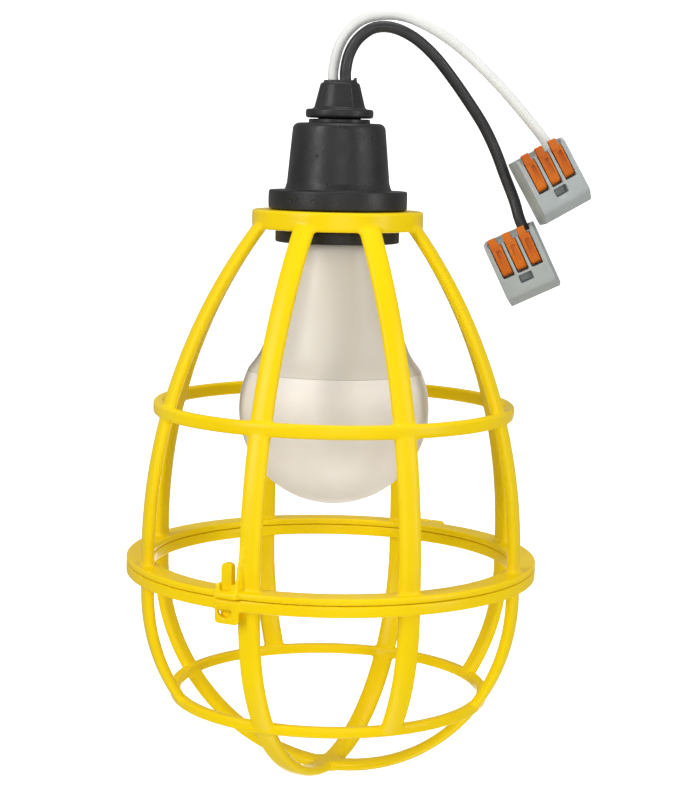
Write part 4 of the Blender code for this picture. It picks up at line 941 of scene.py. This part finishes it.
def notch_tool():
    """The half-round window in the catch."""
    top = LOWER_TOP - 2.0
    middle = 0.4
    outline = [(middle - 2.5, top), (middle + 2.5, top), *arc((middle, top - 1.0), 2.5, 0, -180, 16)]
    return slab(outline, FLANGE_R - 3.0, FLANGE_R + 3.0, frame_at(LATCH_AZIMUTH) @ SIDEWAYS)


def make_latch():
    tip = UPPER_TOP + TAB_UP
    half = TAB_W / 2
    frame_here = frame_at(LATCH_AZIMUTH)
    front = [(-half, NOSE_TOP - HOOK_DROP, 0.5), (half, NOSE_TOP - HOOK_DROP, 0.5), (half, tip, 1.5),
             (-half, tip, 1.5)]
    tab = slab(filleted(front), STEM_IN, STEM_OUT, frame_here @ SIDEWAYS)
    corners = [(STEM_OUT - 0.4, NOSE_TOP, 0.0), (STEM_OUT + 1.1, NOSE_TOP, 0.3),
               (STEM_OUT + 1.1, NOSE_TOP - 1.0, 0.3), (STEM_OUT - 0.4, NOSE_TOP - 2.4, 0.0)]
    hook = slab(filleted(corners), -half, half, frame_here @ UPRIGHT)
    pivot_r, pivot_z = (STEM_IN + STEM_OUT) / 2, UPPER_TOP + 1.1
    pins = rim_rod(pivot_r, pivot_z, half + 1.4, 0.6, LATCH_AZIMUTH)
    latch = carrier("latch_tab", [tab, hook, pins])
    finished(moulded(latch, 0.14, 4, 0.4), "cage_yellow", "latch", ["latch_lever"])


def make_hinge_pin():
    half = HINGE_HALF - 0.1
    corners = [(0.0, -half, 0.0), (PIN_R, -half, 0.3), (PIN_R, half, 0.3), (0.0, half, 0.0)]
    pin = turned(filleted(corners, 4), 32)
    lie = Matrix.Rotation(radians(-90), 4, "X")
    placed(pin, frame_at(HINGE_AZIMUTH) @ Matrix.Translation((HINGE_AXIS_R, 0, HINGE_AXIS_Z)) @ lie)
    finished(carrier("hinge_pin_rod", [pin]), "steel", "socket", ["hinge_pin"])


# --- connectors ------------------------------------------------------------------------------

def make_connector(side):
    half = CONN_W / 2
    inner = half - CONN_EAR
    axis_y, axis_z = LEVER_AXIS
    outline = [(0.0, -CONN_BACK, 0.6), (0.0, CONN_FRONT, 2.2),
               (-CONN_L + CONN_CHAMFER_Y, CONN_FRONT, 1.9),
               (-CONN_L, CONN_FRONT - CONN_CHAMFER_Z, 1.6), (-CONN_L, -CONN_BACK, 0.8)]
    shell = carrier(f"{side}_connector_shell", [slab(filleted(outline), -half, half, SIDEWAYS)])
    pocket_end = axis_y - LEVER_END_R - 0.5
    floor = axis_z - LEVER_END_R - GAP
    cutters = [block((-inner, -1.5, -CONN_BACK + 1.2), (inner, 2, CONN_FRONT + 2)),
               block((-7.0, -17.5, -CONN_BACK - 2), (7.0, -6.5, 3.0)),
               slab(filleted(rectangle((-2.2, -15.6), (2.2, -13.0), 0.2)),
                    CONN_FRONT - 4.0, CONN_FRONT + 2, Matrix.Identity(4)),
               rod((-inner + 0.1, axis_y, axis_z), (inner - 0.1, axis_y, axis_z), 1.0)]
    for x in PORTS:
        cutters.append(block((x - LEVER_W / 2 - GAP, pocket_end, floor),
                             (x + LEVER_W / 2 + GAP, 3, CONN_FRONT + 3)))
        cutters.append(rod((x, -7.3, 0), (x, 1, 0), 2.15, 32))
    carve(shell, cutters)
    moulded(shell, 0.2, 5, 0.35)
    shell.data.transform(connector_matrix(side))
    finished(shell, "connector_grey", "socket", [f"{side}_connector_housing"])
    for number, x in enumerate(PORTS, 1):
        make_lever(side, number, x)


def make_lever(side, number, x):
    """A shut lever: a hollowed bar with a round pinned end and a narrower stepped finger tab."""
    axis_y, axis_z = LEVER_AXIS
    top = CONN_FRONT + 0.4
    half = LEVER_W / 2
    bar = [(-1.6, top - 2.0), (-1.6, top - 0.5), (-2.0, top - 0.1), (-6.0, top - 0.2),
           (axis_y + 1.6, top - 0.5)]
    bar += arc((axis_y, axis_z), LEVER_END_R, 80, 340, 16)[2:]
    bar += [(axis_y + 2.7, top - 2.2)]
    tab = filleted([(-2.6, top - 1.9, 0.3), (0.9, top - 1.5, 0.5), (0.9, top + 0.35, 0.6),
                    (-2.6, top + 0.2, 0.5)])
    parts = [slab(bar, x - half, x + half, SIDEWAYS),
             slab(tab, x - half, x + half - 0.7, SIDEWAYS),
             rod((x - half - 0.5, axis_y, axis_z), (x + half + 0.5, axis_y, axis_z), 0.7)]
    lever = carrier(f"{side}_lever_grip_{number}", parts)
    trough = slab(filleted(rectangle((x - 0.55, axis_y - 0.6), (x + 0.95, -3.2), 0.4)),
                  top - 0.75, top + 2, Matrix.Identity(4))
    carve(moulded(lever, 0.13, 2, 0.5), [trough])
    lever.data.transform(connector_matrix(side))
    finished(lever, "lever_orange", f"{side}_lever_{number}", [f"{side}_lever_{number}"])


# --- carried-over nodes ----------------------------------------------------------------------

def dress_nodes():
    """Give the frame's own hidden parts their finishes."""
    slots = {row["node"]: row["material_slot"] for row in frame["record"]["subparts"]}
    for name, node in frame["nodes"].items():
        node.data.materials.clear()
        node.data.materials.append(FINISHES[slots[name]])


FINISHES = make_finishes()
make_camera()
make_studio()
make_floor()
for side in CONNECTORS:
    make_connector(side)
make_leads()
make_strain_relief()
make_socket_boot()
make_bulb()
make_upper_cage()
make_basket()
make_latch()
make_hinge_pin()
dress_nodes()
